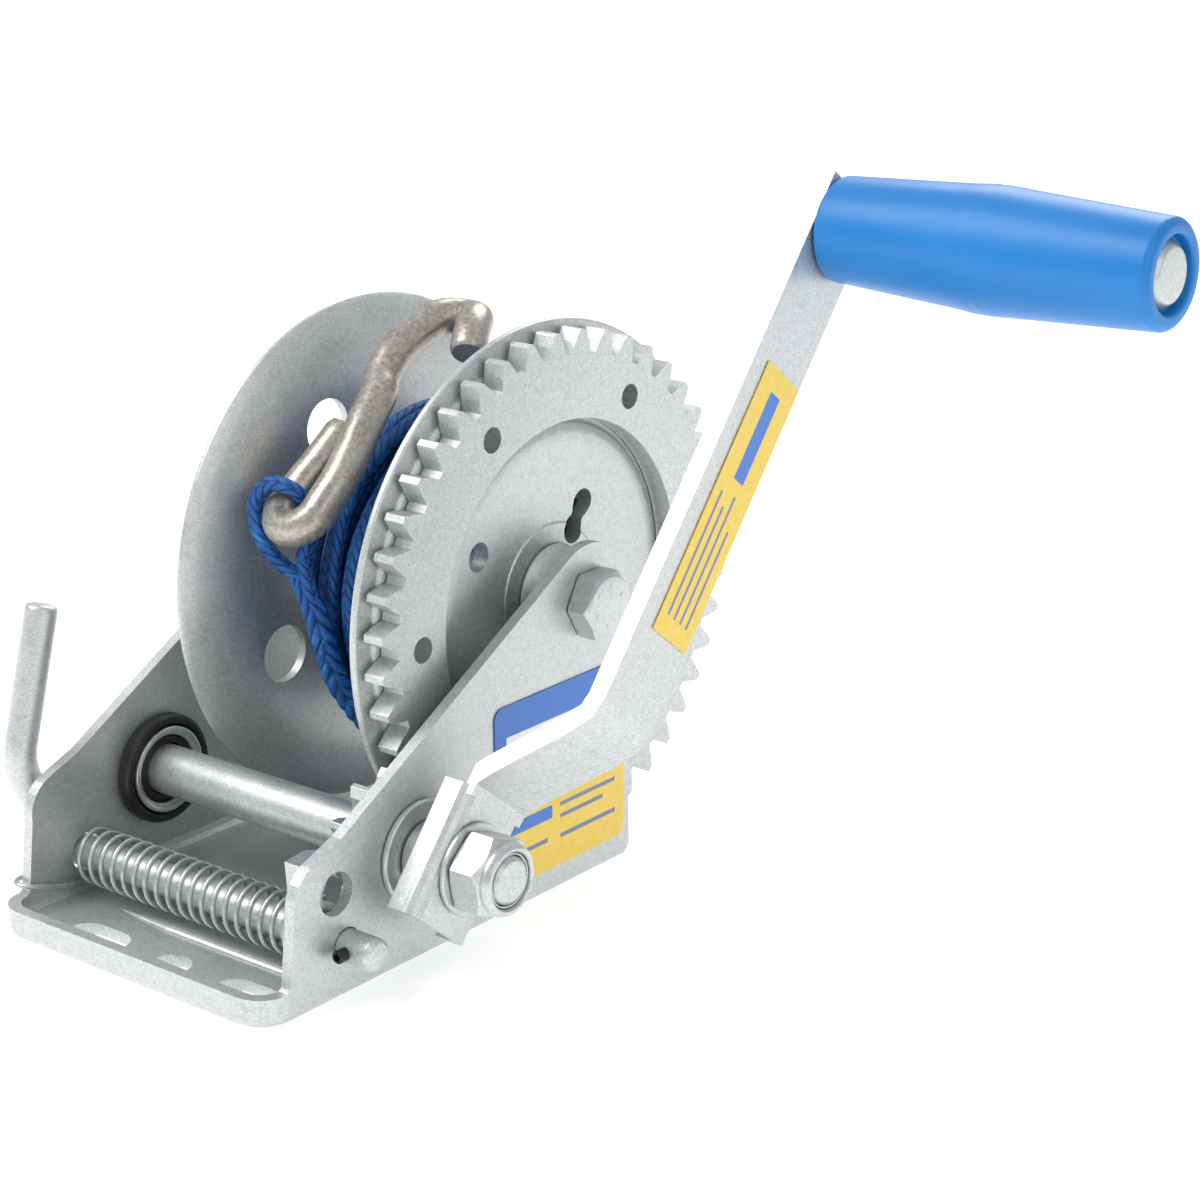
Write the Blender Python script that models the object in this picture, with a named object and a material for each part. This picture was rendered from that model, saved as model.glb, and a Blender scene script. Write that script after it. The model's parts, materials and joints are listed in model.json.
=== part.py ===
"""Boat trailer winch: a geared hand winch in a pressed steel frame, with rope, S-hook and crank.

Units are metres, +Z is up.  The origin is on the underside of the base, midway between the two
side plates and near the middle of the base's length.  +X runs along the axles towards the crank,
and -Y is the end of the base with the three mounting holes.
"""
import math

import bmesh
import bpy
from mathutils import Vector

MM = 0.001
TAU = 2.0 * math.pi
GAP = 0.3 * MM

# Frame: a pressed tray with two side plates.
HALF_WIDTH = 46.5 * MM
SHEET = 3.0 * MM
BASE_FRONT = -66.5 * MM
BASE_BACK = 67.0 * MM
LIP_HEIGHT = 7.2 * MM
LIP_CORNER_RADIUS = 8.5 * MM
FLOOR_FILLET = 3.0 * MM
BASE_HOLE_Y = -58.0 * MM
BASE_HOLE_X = 6.5 * MM
BASE_HOLE_PITCH = 25.5 * MM
BASE_HOLE_WIDTH = 11.0 * MM
BASE_SLOT_LENGTH = 19.0 * MM
VIEW_HOLE_Y = -41.5 * MM
VIEW_HOLE_Z = 26.4 * MM
VIEW_HOLE_RADIUS = 5.4 * MM

# Main axle and drum.
AXLE_Y = 52.0 * MM
AXLE_Z = 73.0 * MM
PLATE_TOP_RADIUS = 15.0 * MM
AXLE_RADIUS = 5.0 * MM
SPACER_RADIUS = 8.0 * MM
BARREL_RADIUS = 28.0 * MM
BARREL_WALL = 2.5 * MM
NEAR_FLANGE_RADIUS = 69.0 * MM
NEAR_FLANGE_X = 29.4 * MM
FLANGE_SHEET = 2.0 * MM
FAR_FLANGE_X = -24.0 * MM
FAR_HOLE_CIRCLE = 41.7 * MM
FAR_HOLE_RADIUS = 7.5 * MM

# Gear pair.
MODULE = 3.0 * MM
GEAR_TEETH = 43
PINION_TEETH = 10
PRESSURE_ANGLE = math.radians(25.0)
ADDENDUM = 0.9 * MODULE
DEDENDUM = 1.1 * MODULE
TOOTH_PLAY = 0.28 * MM
GEAR_PHASE = math.radians(7.75)
GEAR_X = (32.6 * MM, 38.6 * MM)
PINION_X = (32.7 * MM, 41.6 * MM)
GEAR_OPENING_RADIUS = 45.0 * MM
GEAR_HOLE_CIRCLE = 53.0 * MM
GEAR_HOLE_RADIUS = 3.3 * MM
CENTRE_DISTANCE = MODULE * (GEAR_TEETH + PINION_TEETH) / 2.0

# Drive shaft and crank.
DRIVE_ANGLE = math.radians(214.8)
DRIVE_Y = AXLE_Y + CENTRE_DISTANCE * math.cos(DRIVE_ANGLE)
DRIVE_Z = AXLE_Z + CENTRE_DISTANCE * math.sin(DRIVE_ANGLE)
SHAFT_RADIUS = 6.4 * MM
STUD_RADIUS = 6.0 * MM
HANDLE_ANGLE = math.radians(50.5)
HANDLE_RADIUS = 177.0 * MM
HUB_FACE_X = 63.0 * MM
HUB_DEPTH = 8.5 * MM
HUB_WALL = 3.0 * MM
HUB_HALF_WIDTH = 12.0 * MM
HUB_REACH = 16.5 * MM
ARM_FACE_X = 87.6 * MM
ARM_THICKNESS = 5.0 * MM
ARM_HALF_WIDTH = 11.0 * MM
BEND_LOW = 17.5 * MM
BEND_HIGH = 40.5 * MM
ARM_TOP_MARGIN = 9.8 * MM
GRIP_LENGTH = 90.4 * MM
GRIP_END_RADIUS = 13.0 * MM
GRIP_MID_RADIUS = 15.4 * MM
GRIP_MIDDLE = 0.48
SPINDLE_RADIUS = 5.0 * MM
STUD_END_X = 76.0 * MM

# Pawl, its rod and spring.
PAWL_Y = -38.6 * MM
PAWL_Z = 12.5 * MM
ROD_RADIUS = 4.1 * MM
ROD_NEAR_END_X = 56.7 * MM
LEVER_X = -52.5 * MM
SPRING_RADIUS = 6.75 * MM
SPRING_WIRE_RADIUS = 0.65 * MM
SPRING_X = (-41.6 * MM, 33.6 * MM)
SPRING_TURNS = 19
PAWL_X = (36.5 * MM, 42.5 * MM)
ROLL_PIN_X = 49.6 * MM
ROLL_PIN_RADIUS = 1.65 * MM

# Rope: 4 mm, 6 m long, most of it wound on the barrel.  Its end is spliced into an eye round
# the S-hook, which lies against the winding in a plane turned by HOOK_ANGLE from +Y.
ROPE_RADIUS = 2.0 * MM
WINDING_X = (-12.6 * MM, 29.0 * MM)
WINDING_RADIUS = 44.4 * MM
SPLICE_RADIUS = 3.4 * MM
HOOK_RADIUS = 4.7 * MM
HOOK_ANGLE = math.radians(130.0)
HOOK_DISTANCE = 49.4 * MM

# Colour, roughness and metallic value of each finish.
FINISHES = {
    "galvanised": ((0.55, 0.57, 0.57), 0.45, 0.8),
    "zinc": ((0.62, 0.63, 0.64), 0.35, 0.9),
    "spring_steel": ((0.42, 0.43, 0.42), 0.3, 1.0),
    "raw_steel": ((0.35, 0.31, 0.28), 0.4, 0.9),
    "black": ((0.02, 0.02, 0.022), 0.5, 0.0),
    "blue_grip": ((0.02, 0.25, 0.75), 0.35, 0.0),
    "blue_rope": ((0.01, 0.1, 0.45), 0.6, 0.0),
    "white_nylon": ((0.75, 0.75, 0.72), 0.5, 0.0),
    "sticker": ((0.9, 0.75, 0.1), 0.4, 0.0),
}


# ---------------------------------------------------------------- helpers

def clear_scene():
    for item in list(bpy.data.objects):
        bpy.data.objects.remove(item, do_unlink=True)


def finish_of(name):
    material = bpy.data.materials.get(name)
    if material is None:
        colour, roughness, metallic = FINISHES[name]
        material = bpy.data.materials.new(name)
        material.use_nodes = True
        shader = material.node_tree.nodes["Principled BSDF"]
        shader.inputs["Base Color"].default_value = (*colour, 1.0)
        shader.inputs["Roughness"].default_value = roughness
        shader.inputs["Metallic"].default_value = metallic
    return material


def pivot(name, location, parent=None, turn=0.0):
    """An empty on a joint's axis, turned about X."""
    empty = bpy.data.objects.new(name, None)
    bpy.context.collection.objects.link(empty)
    empty.location = location
    empty.rotation_euler.x = turn
    empty.parent = parent
    return empty


def add(name, bm, finish=None, parent=None, location=(0, 0, 0)):
    bmesh.ops.recalc_face_normals(bm, faces=bm.faces[:])
    mesh = bpy.data.meshes.new(name)
    bm.to_mesh(mesh)
    bm.free()
    mesh.shade_smooth()
    mesh.set_sharp_from_angle(angle=math.radians(35.0))
    item = bpy.data.objects.new(name, mesh)
    bpy.context.collection.objects.link(item)
    item.location = location
    item.parent = parent
    if finish:
        mesh.materials.append(finish_of(finish))
    return item


def boolean(item, other, operation="DIFFERENCE"):
    other.hide_render = True
    other.display_type = "WIRE"
    other.parent = item.parent
    modifier = item.modifiers.new(other.name, "BOOLEAN")
    modifier.operation = operation
    modifier.solver = "EXACT"
    modifier.object = other


def arc(centre, radius, start, end, steps):
    """Points on an arc in the plane of (y, z); the angles are in degrees from +Y."""
    points = []
    for i in range(steps + 1):
        a = math.radians(start + (end - start) * i / steps)
        points.append((centre[0] + radius * math.cos(a), centre[1] + radius * math.sin(a)))
    return points


def fill_prism(bm, outline, x0, x1):
    """Extrudes a closed (y, z) outline from x0 to x1."""
    low = [bm.verts.new((x0, y, z)) for y, z in outline]
    high = [bm.verts.new((x1, y, z)) for y, z in outline]
    bm.faces.new(low)
    bm.faces.new(high)
    for i in range(len(outline)):
        j = (i + 1) % len(outline)
        bm.faces.new((low[i], low[j], high[j], high[i]))


def fill_turned(bm, profile, steps):
    """Turns an (x, radius) profile about X; a radius may be a function of the angle.

    A profile that starts and ends on the axis is solid, and any other is a closed ring.
    """
    rings = []
    for x, radius in profile:
        if radius == 0:
            rings.append([bm.verts.new((x, 0, 0))])
            continue
        ring = []
        for i in range(steps):
            a = TAU * i / steps
            r = radius(a) if callable(radius) else radius
            ring.append(bm.verts.new((x, r * math.cos(a), r * math.sin(a))))
        rings.append(ring)
    pairs = list(zip(rings, rings[1:]))
    if len(rings[0]) > 1:
        pairs.append((rings[-1], rings[0]))
    for first, second in pairs:
        for i in range(steps):
            j = (i + 1) % steps
            corners = [first[i % len(first)], first[j % len(first)]]
            corners += [second[j % len(second)], second[i % len(second)]]
            bm.faces.new(list(dict.fromkeys(corners)))


def prism(name, outline, x0, x1, finish=None, parent=None):
    bm = bmesh.new()
    fill_prism(bm, outline, x0, x1)
    return add(name, bm, finish, parent)


def turned(name, profile, finish=None, parent=None, location=(0, 0, 0), steps=48):
    bm = bmesh.new()
    fill_turned(bm, profile, steps)
    return add(name, bm, finish, parent, location)


def pegs(name, holes, parent=None):
    """Cylinders along X for cutting: (x0, x1, y, z, radius)."""
    bm = bmesh.new()
    for x0, x1, y, z, radius in holes:
        fill_prism(bm, arc((y, z), radius, 0, 360, 24)[:-1], x0, x1)
    return add(name, bm, parent=parent)


def bar(name, points, radius, finish, parent=None, steps=12):
    """A solid round bar that is swept along a list of points in its parent's frame."""
    points = [Vector(p) for p in points]
    bm = bmesh.new()
    rings = []
    across = (points[1] - points[0]).orthogonal().normalized()
    for i, point in enumerate(points):
        along = (points[min(i + 1, len(points) - 1)] - points[max(i - 1, 0)]).normalized()
        across = (across - along * across.dot(along)).normalized()
        side = along.cross(across)
        ring = []
        for k in range(steps):
            a = TAU * k / steps
            ring.append(bm.verts.new(point + (across * math.cos(a) + side * math.sin(a)) * radius))
        rings.append(ring)
    bm.faces.new(rings[0])
    bm.faces.new(rings[-1])
    for first, second in zip(rings, rings[1:]):
        for i in range(steps):
            j = (i + 1) % steps
            bm.faces.new((first[i], first[j], second[j], second[i]))
    return add(name, bm, finish, parent)


def tube(name, points, radius, finish, parent=None, sides=3, location=(0, 0, 0)):
    """A round cord or wire along a list of points."""
    curve = bpy.data.curves.new(name, "CURVE")
    curve.dimensions = "3D"
    curve.bevel_depth = radius
    curve.bevel_resolution = sides
    curve.use_fill_caps = True
    spline = curve.splines.new("POLY")
    spline.points.add(len(points) - 1)
    for point, place in zip(spline.points, points):
        point.co = (*place, 1.0)
    curve.materials.append(finish_of(finish))
    item = bpy.data.objects.new(name, curve)
    bpy.context.collection.objects.link(item)
    item.parent = parent
    item.location = location
    return item


def smooth_route(guides, steps):
    """A Catmull-Rom curve through the guide points."""
    guides = [Vector(g) for g in guides]
    ends = [2 * guides[0] - guides[1]] + guides + [2 * guides[-1] - guides[-2]]
    route = []
    for a, b, c, d in zip(ends, ends[1:], ends[2:], ends[3:]):
        for i in range(steps):
            t = i / steps
            point = 2 * b + (c - a) * t + (2 * a - 5 * b + 4 * c - d) * t * t
            route.append((point + (3 * b - a - 3 * c + d) * t ** 3) / 2)
    route.append(guides[-1])
    return route


def rounded_corner(before, corner, after, radius, steps=5):
    """Points of an arc that rounds the corner of a bar's route."""
    a = (Vector(before) - Vector(corner)).normalized()
    b = (Vector(after) - Vector(corner)).normalized()
    half = a.angle(b) / 2.0
    reach = radius / math.tan(half)
    centre = Vector(corner) + (a + b).normalized() * radius / math.sin(half)
    start = Vector(corner) + a * reach - centre
    end = Vector(corner) + b * reach - centre
    sweep = start.angle(end)
    points = []
    for i in range(steps + 1):
        t = i / steps
        blend = start * math.sin((1 - t) * sweep) + end * math.sin(t * sweep)
        points.append(centre + blend / math.sin(sweep))
    return points


def hexagon(across_flats, limit, turn=0.0):
    """The radius of a hexagon at an angle, cut back to a round limit; turn is a flat's angle."""
    def radius(a):
        folded = (a - turn + TAU / 12) % (TAU / 6) - TAU / 12
        return min(across_flats / 2 / math.cos(folded), limit)
    return radius


# ---------------------------------------------------------------- frame

def plate_outline():
    """The side of the frame: the low front lip, then the side plate up and round the axle."""
    outline = [(BASE_FRONT, 0.0), (BASE_FRONT, LIP_HEIGHT)]
    outline += arc((-59.0 * MM, LIP_HEIGHT + 1.6 * MM), 1.6 * MM, -90, -5, 4)
    outline += [(-55.2 * MM, 25.5 * MM)]
    outline += arc((-45.4 * MM, 26.6 * MM), 9.8 * MM, 176, 114, 6)
    slope = math.degrees(math.atan2(46.6, 83.8))
    outline += [(-39.2 * MM, 39.4 * MM)]
    outline += arc((AXLE_Y, AXLE_Z), PLATE_TOP_RADIUS, 90 + slope, 0, 12)
    outline += [(BASE_BACK, 4.0 * MM)]
    outline += arc((BASE_BACK - 4.0 * MM, 4.0 * MM), 4.0 * MM, -15, -90, 5)
    return outline


def bevel_edges(bm, chosen, radius, segments):
    bmesh.ops.recalc_face_normals(bm, faces=bm.faces[:])
    edges = [e for e in bm.edges if chosen(*[v.co for v in e.verts])]
    bmesh.ops.bevel(bm, geom=edges, offset=radius, offset_type="OFFSET",
                    segments=segments, profile=0.5, affect="EDGES")


def tray_space():
    """The room inside the tray, cut out of the frame's block."""
    inner = HALF_WIDTH - SHEET
    front = BASE_FRONT + SHEET
    bm = bmesh.new()
    outline = [(front, SHEET), (front, 200 * MM), (200 * MM, 200 * MM), (200 * MM, SHEET)]
    fill_prism(bm, outline, -inner, inner)
    bevel_edges(bm, lambda a, b: abs(a.y - front) < GAP and abs(b.y - front) < GAP
                and abs(a.z - b.z) > GAP, LIP_CORNER_RADIUS - SHEET, 5)
    bevel_edges(bm, lambda a, b: abs(a.z - SHEET) < GAP and abs(b.z - SHEET) < GAP
                and max(a.y, b.y) < 201 * MM and min(a.y, b.y) < 199 * MM, FLOOR_FILLET, 3)
    return add("tray_space", bm)


def base_holes():
    """The middle hole and the two slots across the front of the base."""
    bm = bmesh.new()
    half = BASE_HOLE_WIDTH / 2
    for step in (-1, 0, 1):
        spread = (BASE_SLOT_LENGTH - BASE_HOLE_WIDTH) / 2 * abs(step)
        x = BASE_HOLE_X + step * BASE_HOLE_PITCH
        outline = arc((x + spread, BASE_HOLE_Y), half, -90, 90, 10)
        outline += arc((x - spread, BASE_HOLE_Y), half, 90, 270, 10)
        if not step:
            outline = arc((x, BASE_HOLE_Y), half, 0, 360, 20)[:-1]
        low = [bm.verts.new((px, py, -SHEET)) for px, py in outline]
        high = [bm.verts.new((px, py, 2 * SHEET)) for px, py in outline]
        bm.faces.new(low)
        bm.faces.new(high)
        for i in range(len(outline)):
            j = (i + 1) % len(outline)
            bm.faces.new((low[i], low[j], high[j], high[i]))
    return add("base_holes", bm)


def floor_bead():
    """The low stiffening bead that is pressed across the floor behind the holes."""
    bead = []
    for x, size in ((-26.0, 0.1), (-18.0, 0.6), (-8.0, 1.0), (42.0, 1.0)):
        bead.append((x * MM, 2.6 * MM * size))
    bm = bmesh.new()
    fill_turned(bm, [(bead[0][0] - MM, 0)] + bead + [(bead[-1][0] + MM, 0)], 16)
    bmesh.ops.scale(bm, vec=(1, 1, 0.5), verts=bm.verts[:])
    bmesh.ops.translate(bm, vec=(0, -43.2 * MM, SHEET), verts=bm.verts[:])
    return add("floor_bead", bm)


def make_frame():
    bm = bmesh.new()
    fill_prism(bm, plate_outline(), -HALF_WIDTH, HALF_WIDTH)
    bevel_edges(bm, lambda a, b: a.y < BASE_FRONT + GAP and b.y < BASE_FRONT + GAP
                and abs(a.z - b.z) > GAP, LIP_CORNER_RADIUS, 6)
    bevel_edges(bm, lambda a, b: a.z < GAP and b.z < GAP
                and (abs(a.x - b.x) < GAP or max(a.y, b.y) < 0), 1.3 * MM, 2)
    frame = add("frame", bm, "galvanised")
    boolean(frame, tray_space())
    boolean(frame, floor_bead(), "UNION")
    boolean(frame, base_holes())
    out = HALF_WIDTH + 1 * MM
    inn = HALF_WIDTH - SHEET - 1 * MM
    holes = [
        (inn, out, AXLE_Y, AXLE_Z, AXLE_RADIUS + GAP),
        (-out, -inn, AXLE_Y, AXLE_Z, AXLE_RADIUS + GAP),
        (inn, out, DRIVE_Y, DRIVE_Z, 9.0 * MM + GAP),
        (-out, -inn, DRIVE_Y, DRIVE_Z, 12.0 * MM),
        (inn, out, PAWL_Y, PAWL_Z, ROD_RADIUS + GAP),
        (-out, -inn, PAWL_Y, PAWL_Z, ROD_RADIUS + 0.8 * MM),
        (inn, out, VIEW_HOLE_Y, VIEW_HOLE_Z, VIEW_HOLE_RADIUS),
    ]
    boolean(frame, pegs("plate_holes", holes))


def make_side_label():
    """A plain sticker on the near side plate."""
    face = HALF_WIDTH + 0.1 * MM
    outline = []
    for y, z, start in ((61.5, 9.5, -90), (61.5, 51.7, 0), (17.7, 51.7, 90), (17.7, 9.5, 180)):
        outline += arc((y * MM, z * MM), 3.0 * MM, start, start + 90, 4)
    prism("side_label", outline, face, face + 0.25 * MM, "sticker")


# ---------------------------------------------------------------- main axle

def make_axle():
    place = (0, AXLE_Y, AXLE_Z)
    plate = HALF_WIDTH
    hexed = hexagon(16 * MM, 9.3 * MM, math.radians(30.0))
    head = [(-plate - 13.5 * MM, 0), (-plate - 13.5 * MM, AXLE_RADIUS - 0.8 * MM),
            (-plate - 12.7 * MM, AXLE_RADIUS), (plate + GAP, AXLE_RADIUS),
            (plate + GAP, hexed), (plate + 5.6 * MM, hexed),
            (plate + 6.6 * MM, 7.8 * MM), (plate + 6.6 * MM, 0)]
    turned("axle_bolt", head, "zinc", None, place, 24)
    bore = AXLE_RADIUS + GAP
    inner = plate - SHEET - GAP
    turned("axle_spacer", [(-inner, bore), (-inner, SPACER_RADIUS), (inner, SPACER_RADIUS),
                           (inner, bore)], "zinc", None, place, 24)
    start = -plate - GAP
    turned("axle_washer", [(start - 2 * MM, bore), (start - 2 * MM, 10 * MM),
                           (start, 10 * MM), (start, bore)], "zinc", None, place, 24)
    start -= 2 * MM + GAP
    turned("axle_nut", [(start - 9.5 * MM, bore), (start - 9.5 * MM, 7.4 * MM),
                        (start - 6.8 * MM, 7.8 * MM), (start - 5.8 * MM, hexagon(17 * MM, 9.8 * MM)),
                        (start, hexagon(17 * MM, 9.8 * MM)), (start, bore)],
           "zinc", None, place, 24)


# ---------------------------------------------------------------- drum

def involute(angle):
    return math.tan(angle) - angle


def tooth_points(teeth, addendum):
    """One tooth as (radius, angle) pairs, from its right root over the tip to its left root."""
    pitch = MODULE * teeth / 2.0
    base = pitch * math.cos(PRESSURE_ANGLE)
    root = pitch - DEDENDUM
    tip = pitch + addendum
    half = math.pi / (2 * teeth) - TOOTH_PLAY / (2 * pitch)
    half += involute(PRESSURE_ANGLE)
    start = max(base, root + 0.6 * MM)
    side = [(root, math.pi / teeth * 0.82), (start, half - involute(math.acos(base / start)))]
    for share in (0.45, 0.93):
        r = start + (tip - start) * share
        side.append((r, half - involute(math.acos(base / r))))
    side.append((tip, max(side[-1][1] - 0.25 * MM / tip, 0.2 * side[-1][1])))
    side[0] = (root, max(side[0][1] if root < base else side[1][1] + 0.3 * MM / root,
                         side[1][1] + 0.2 * MM / root))
    return [(r, -a) for r, a in side] + [(r, a) for r, a in reversed(side)]


def gear_outline(teeth, addendum, phase):
    outline = []
    for k in range(teeth):
        centre = phase + TAU * k / teeth
        for r, a in tooth_points(teeth, addendum):
            outline.append((r * math.cos(centre + a), r * math.sin(centre + a)))
    return outline


def make_gear(drum):
    gear = prism("gear_wheel", gear_outline(GEAR_TEETH, ADDENDUM, GEAR_PHASE), *GEAR_X,
                 "galvanised", drum)
    out = 1 * MM
    holes = [(GEAR_X[0] - out, GEAR_X[1] + out, 0, 0, GEAR_OPENING_RADIUS)]
    for k in range(6):
        a = TAU * k / 6
        holes.append((GEAR_X[0] - out, GEAR_X[1] + out, GEAR_HOLE_CIRCLE * math.cos(a),
                      GEAR_HOLE_CIRCLE * math.sin(a), GEAR_HOLE_RADIUS))
    bm = bmesh.new()
    for i, (x0, x1, y, z, radius) in enumerate(holes):
        steps = 48 if i == 0 else 12
        fill_prism(bm, arc((y, z), radius, 0, 360, steps)[:-1], x0, x1)
    boolean(gear, add("gear_holes", bm, parent=drum))


def make_near_flange(drum):
    """A thin disc with a raised seat for the gear and a rounded raised middle."""
    back = NEAR_FLANGE_X
    front = back + FLANGE_SHEET
    seat = GEAR_X[0] - GAP
    bore = SPACER_RADIUS + 3.0 * MM
    profile = [(back, bore), (back, NEAR_FLANGE_RADIUS - 0.4 * MM),
               (back + 0.4 * MM, NEAR_FLANGE_RADIUS), (front - 0.4 * MM, NEAR_FLANGE_RADIUS),
               (front, NEAR_FLANGE_RADIUS - 0.4 * MM), (front, 63.4 * MM), (seat, 62.5 * MM),
               (seat, 43.8 * MM), (seat + 1.2 * MM, 42.8 * MM), (seat + 2.1 * MM, 41.0 * MM),
               (seat + 2.4 * MM, 38.6 * MM), (seat + 1.4 * MM, 21.0 * MM),
               (seat + 1.4 * MM, 18.0 * MM), (seat + 1.8 * MM, 17.5 * MM), (seat + 1.8 * MM, bore)]
    flange = turned("near_flange", profile, "galvanised", drum, steps=48)
    reach = (back - MM, seat + 4 * MM)
    slot = math.radians(58.0)
    holes = [(*reach, 31.8 * MM * math.cos(math.radians(150)),
              31.8 * MM * math.sin(math.radians(150)), 3.8 * MM)]
    for r in (16.6 * MM, 24.2 * MM):
        holes.append((*reach, r * math.cos(slot), r * math.sin(slot), 3.5 * MM))
    boolean(flange, pegs("flange_hole", holes[:2], drum))
    boolean(flange, pegs("flange_slot_end", holes[2:], drum))
    waist = []
    for r, side in ((17.0, -1), (24.0, -1), (24.0, 1), (17.0, 1)):
        across = side * 2.3 * MM
        waist.append((r * MM * math.cos(slot) - across * math.sin(slot),
                      r * MM * math.sin(slot) + across * math.cos(slot)))
    boolean(flange, prism("flange_slot", waist, *reach, None, drum))


def make_far_flange(drum):
    """A dished disc whose wide rim curls back towards the far side plate."""
    face = FAR_FLANGE_X
    outer = [(0.0, 48.0), (-0.4, 53.5), (-1.5, 59.0), (-3.1, 63.8), (-4.7, 66.9), (-5.6, 67.7)]
    inner = [(-6.6, 67.2), (-6.3, 66.0), (-5.1, 63.4), (-3.7, 59.2), (-2.7, 53.5), (-2.4, 48.0)]
    bore = SPACER_RADIUS + 3.0 * MM
    profile = [(face, bore)]
    profile += [(face + x * MM, r * MM) for x, r in outer + inner]
    profile += [(face - 2.4 * MM, bore)]
    flange = turned("far_flange", profile, "galvanised", drum, steps=48)
    holes = []
    for k in range(4):
        a = math.radians(116.5 + 90.0 * k)
        holes.append((face - 4 * MM, face + MM, FAR_HOLE_CIRCLE * math.cos(a),
                      FAR_HOLE_CIRCLE * math.sin(a), FAR_HOLE_RADIUS))
    boolean(flange, pegs("far_flange_holes", holes, drum))


def make_barrel(drum):
    x0 = FAR_FLANGE_X + GAP
    x1 = NEAR_FLANGE_X - GAP
    inner = BARREL_RADIUS - BARREL_WALL
    turned("drum_barrel", [(x0, inner), (x0, BARREL_RADIUS), (x1, BARREL_RADIUS), (x1, inner)],
           "galvanised", drum, steps=48)
    bore = SPACER_RADIUS + GAP
    stem = SPACER_RADIUS + 2.7 * MM
    far = FAR_FLANGE_X - 2.4 * MM
    near = GEAR_X[0] + 1.5 * MM
    inner_plate = HALF_WIDTH - SHEET
    turned("near_hub_bush", [(NEAR_FLANGE_X - 6 * MM, bore), (NEAR_FLANGE_X - 6 * MM, stem),
                             (near + GAP, stem), (near + GAP, 12.6 * MM),
                             (near + 0.8 * MM, 12.6 * MM), (near + 2.4 * MM, 11.0 * MM),
                             (near + 4.2 * MM, 9.9 * MM), (near + 6.0 * MM, 9.4 * MM),
                             (inner_plate - 0.6 * MM, 9.2 * MM), (inner_plate - 0.6 * MM, bore)],
           "galvanised", drum, steps=28)
    turned("far_hub_bush", [(-inner_plate + 0.6 * MM, bore), (-inner_plate + 0.6 * MM, 9.9 * MM),
                            (far - 2.4 * MM, 9.9 * MM), (far - 2.4 * MM, 12.5 * MM),
                            (far - GAP, 12.5 * MM), (far - GAP, stem),
                            (far + 8 * MM, stem), (far + 8 * MM, bore)],
           "galvanised", drum, steps=28)


def make_winding(drum):
    """The wound rope as one ring."""
    x0, x1 = WINDING_X
    low = BARREL_RADIUS + GAP
    high = WINDING_RADIUS
    profile = [(x0, low), (x0, high - 6 * MM), (x0 + 4 * MM, high - 3 * MM),
               (x0 + 8 * MM, high), (x1 - 3 * MM, high), (x1, high - 2 * MM), (x1, low)]
    turned("rope_winding", profile, "blue_rope", drum, steps=40)


def on_drum(x, radius, angle):
    """A point over the drum; x and radius in mm, and the angle in degrees from +Y."""
    a = math.radians(angle)
    return Vector((x, radius * math.cos(a), radius * math.sin(a))) * MM


def on_hook(x, along, out=0.0):
    """A point in mm in the hook's plane: along it, and out from it, away from the drum."""
    a = HOOK_ANGLE
    distance = HOOK_DISTANCE + out * MM
    return Vector((x * MM, distance * math.cos(a) + along * MM * math.sin(a),
                   distance * math.sin(a) - along * MM * math.cos(a)))


def make_tail(drum):
    """The spliced end of the rope, up to its eye."""
    r = (WINDING_RADIUS + SPLICE_RADIUS) / MM + 0.3
    guides = [on_drum(3.5, r, 218), on_drum(1.4, r, 202), on_drum(0.0, r, 188),
              on_drum(-2.6, r, 178.5), on_drum(-6.4, r + 0.6, 171.5)]
    tube("rope_tail", smooth_route(guides, 3), SPLICE_RADIUS, "blue_rope", drum)


def make_eye(drum):
    """The eye: up beside the hook's bend, over its short leg and back below the bend."""
    guides = [on_drum(-7.0, 48.9, 170.5), on_hook(-11.8, -30.9, -6.4), on_hook(-15.4, -28.0, -0.6),
              on_hook(-16.8, -22.8, 4.6), on_hook(-12.6, -18.8, 7.7), on_hook(-6.6, -18.0, 6.6),
              on_hook(-3.9, -18.9, 1.0), on_hook(-4.4, -22.5, -4.8), on_drum(-5.2, 50.0, 164.5)]
    tube("rope_eye", smooth_route(guides, 4), ROPE_RADIUS, "blue_rope", drum, 2)


def make_hook(drum):
    """A round bar bent into an S: a close bend round the eye, and an open one over the drum."""
    places = [on_hook(-9.0, 5.5), on_hook(-9.8, -4.0), on_hook(-10.9, -12.5, 0.2)]
    bend = arc((-3.9, -19.3), 7.3, 180, 360, 7)
    for i, (x, along) in enumerate(bend):
        places.append(on_hook(x, along, 0.4 + 3.8 * i / 7))
    places += [on_hook(3.6, -11.0, 4.4), on_hook(2.2, -2.5, 4.4), on_hook(0.2, 5.5, 4.3)]
    over = [(-2.2, -22.5, 50.0), (-5.0, -18.3, 52.8), (-6.6, -12.3, 57.2), (-7.1, -6.6, 60.0),
            (-6.9, -1.5, 61.9), (-6.3, 3.5, 63.9), (-4.5, 7.9, 64.2), (-1.0, 10.2, 63.8),
            (3.0, 8.5, 64.1), (5.8, 4.6, 63.6), (8.2, 0.6, 61.4), (10.2, -2.6, 58.4)]
    places += [Vector(place) * MM for place in over]
    bar("s_hook", places, HOOK_RADIUS, "raw_steel", drum, 14)


def make_drum():
    drum = pivot("drum_axis", (0, AXLE_Y, AXLE_Z))
    make_near_flange(drum)
    make_gear(drum)
    make_far_flange(drum)
    make_barrel(drum)
    make_winding(drum)
    make_tail(drum)
    make_eye(drum)
    make_hook(drum)


# ---------------------------------------------------------------- drive shaft

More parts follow.
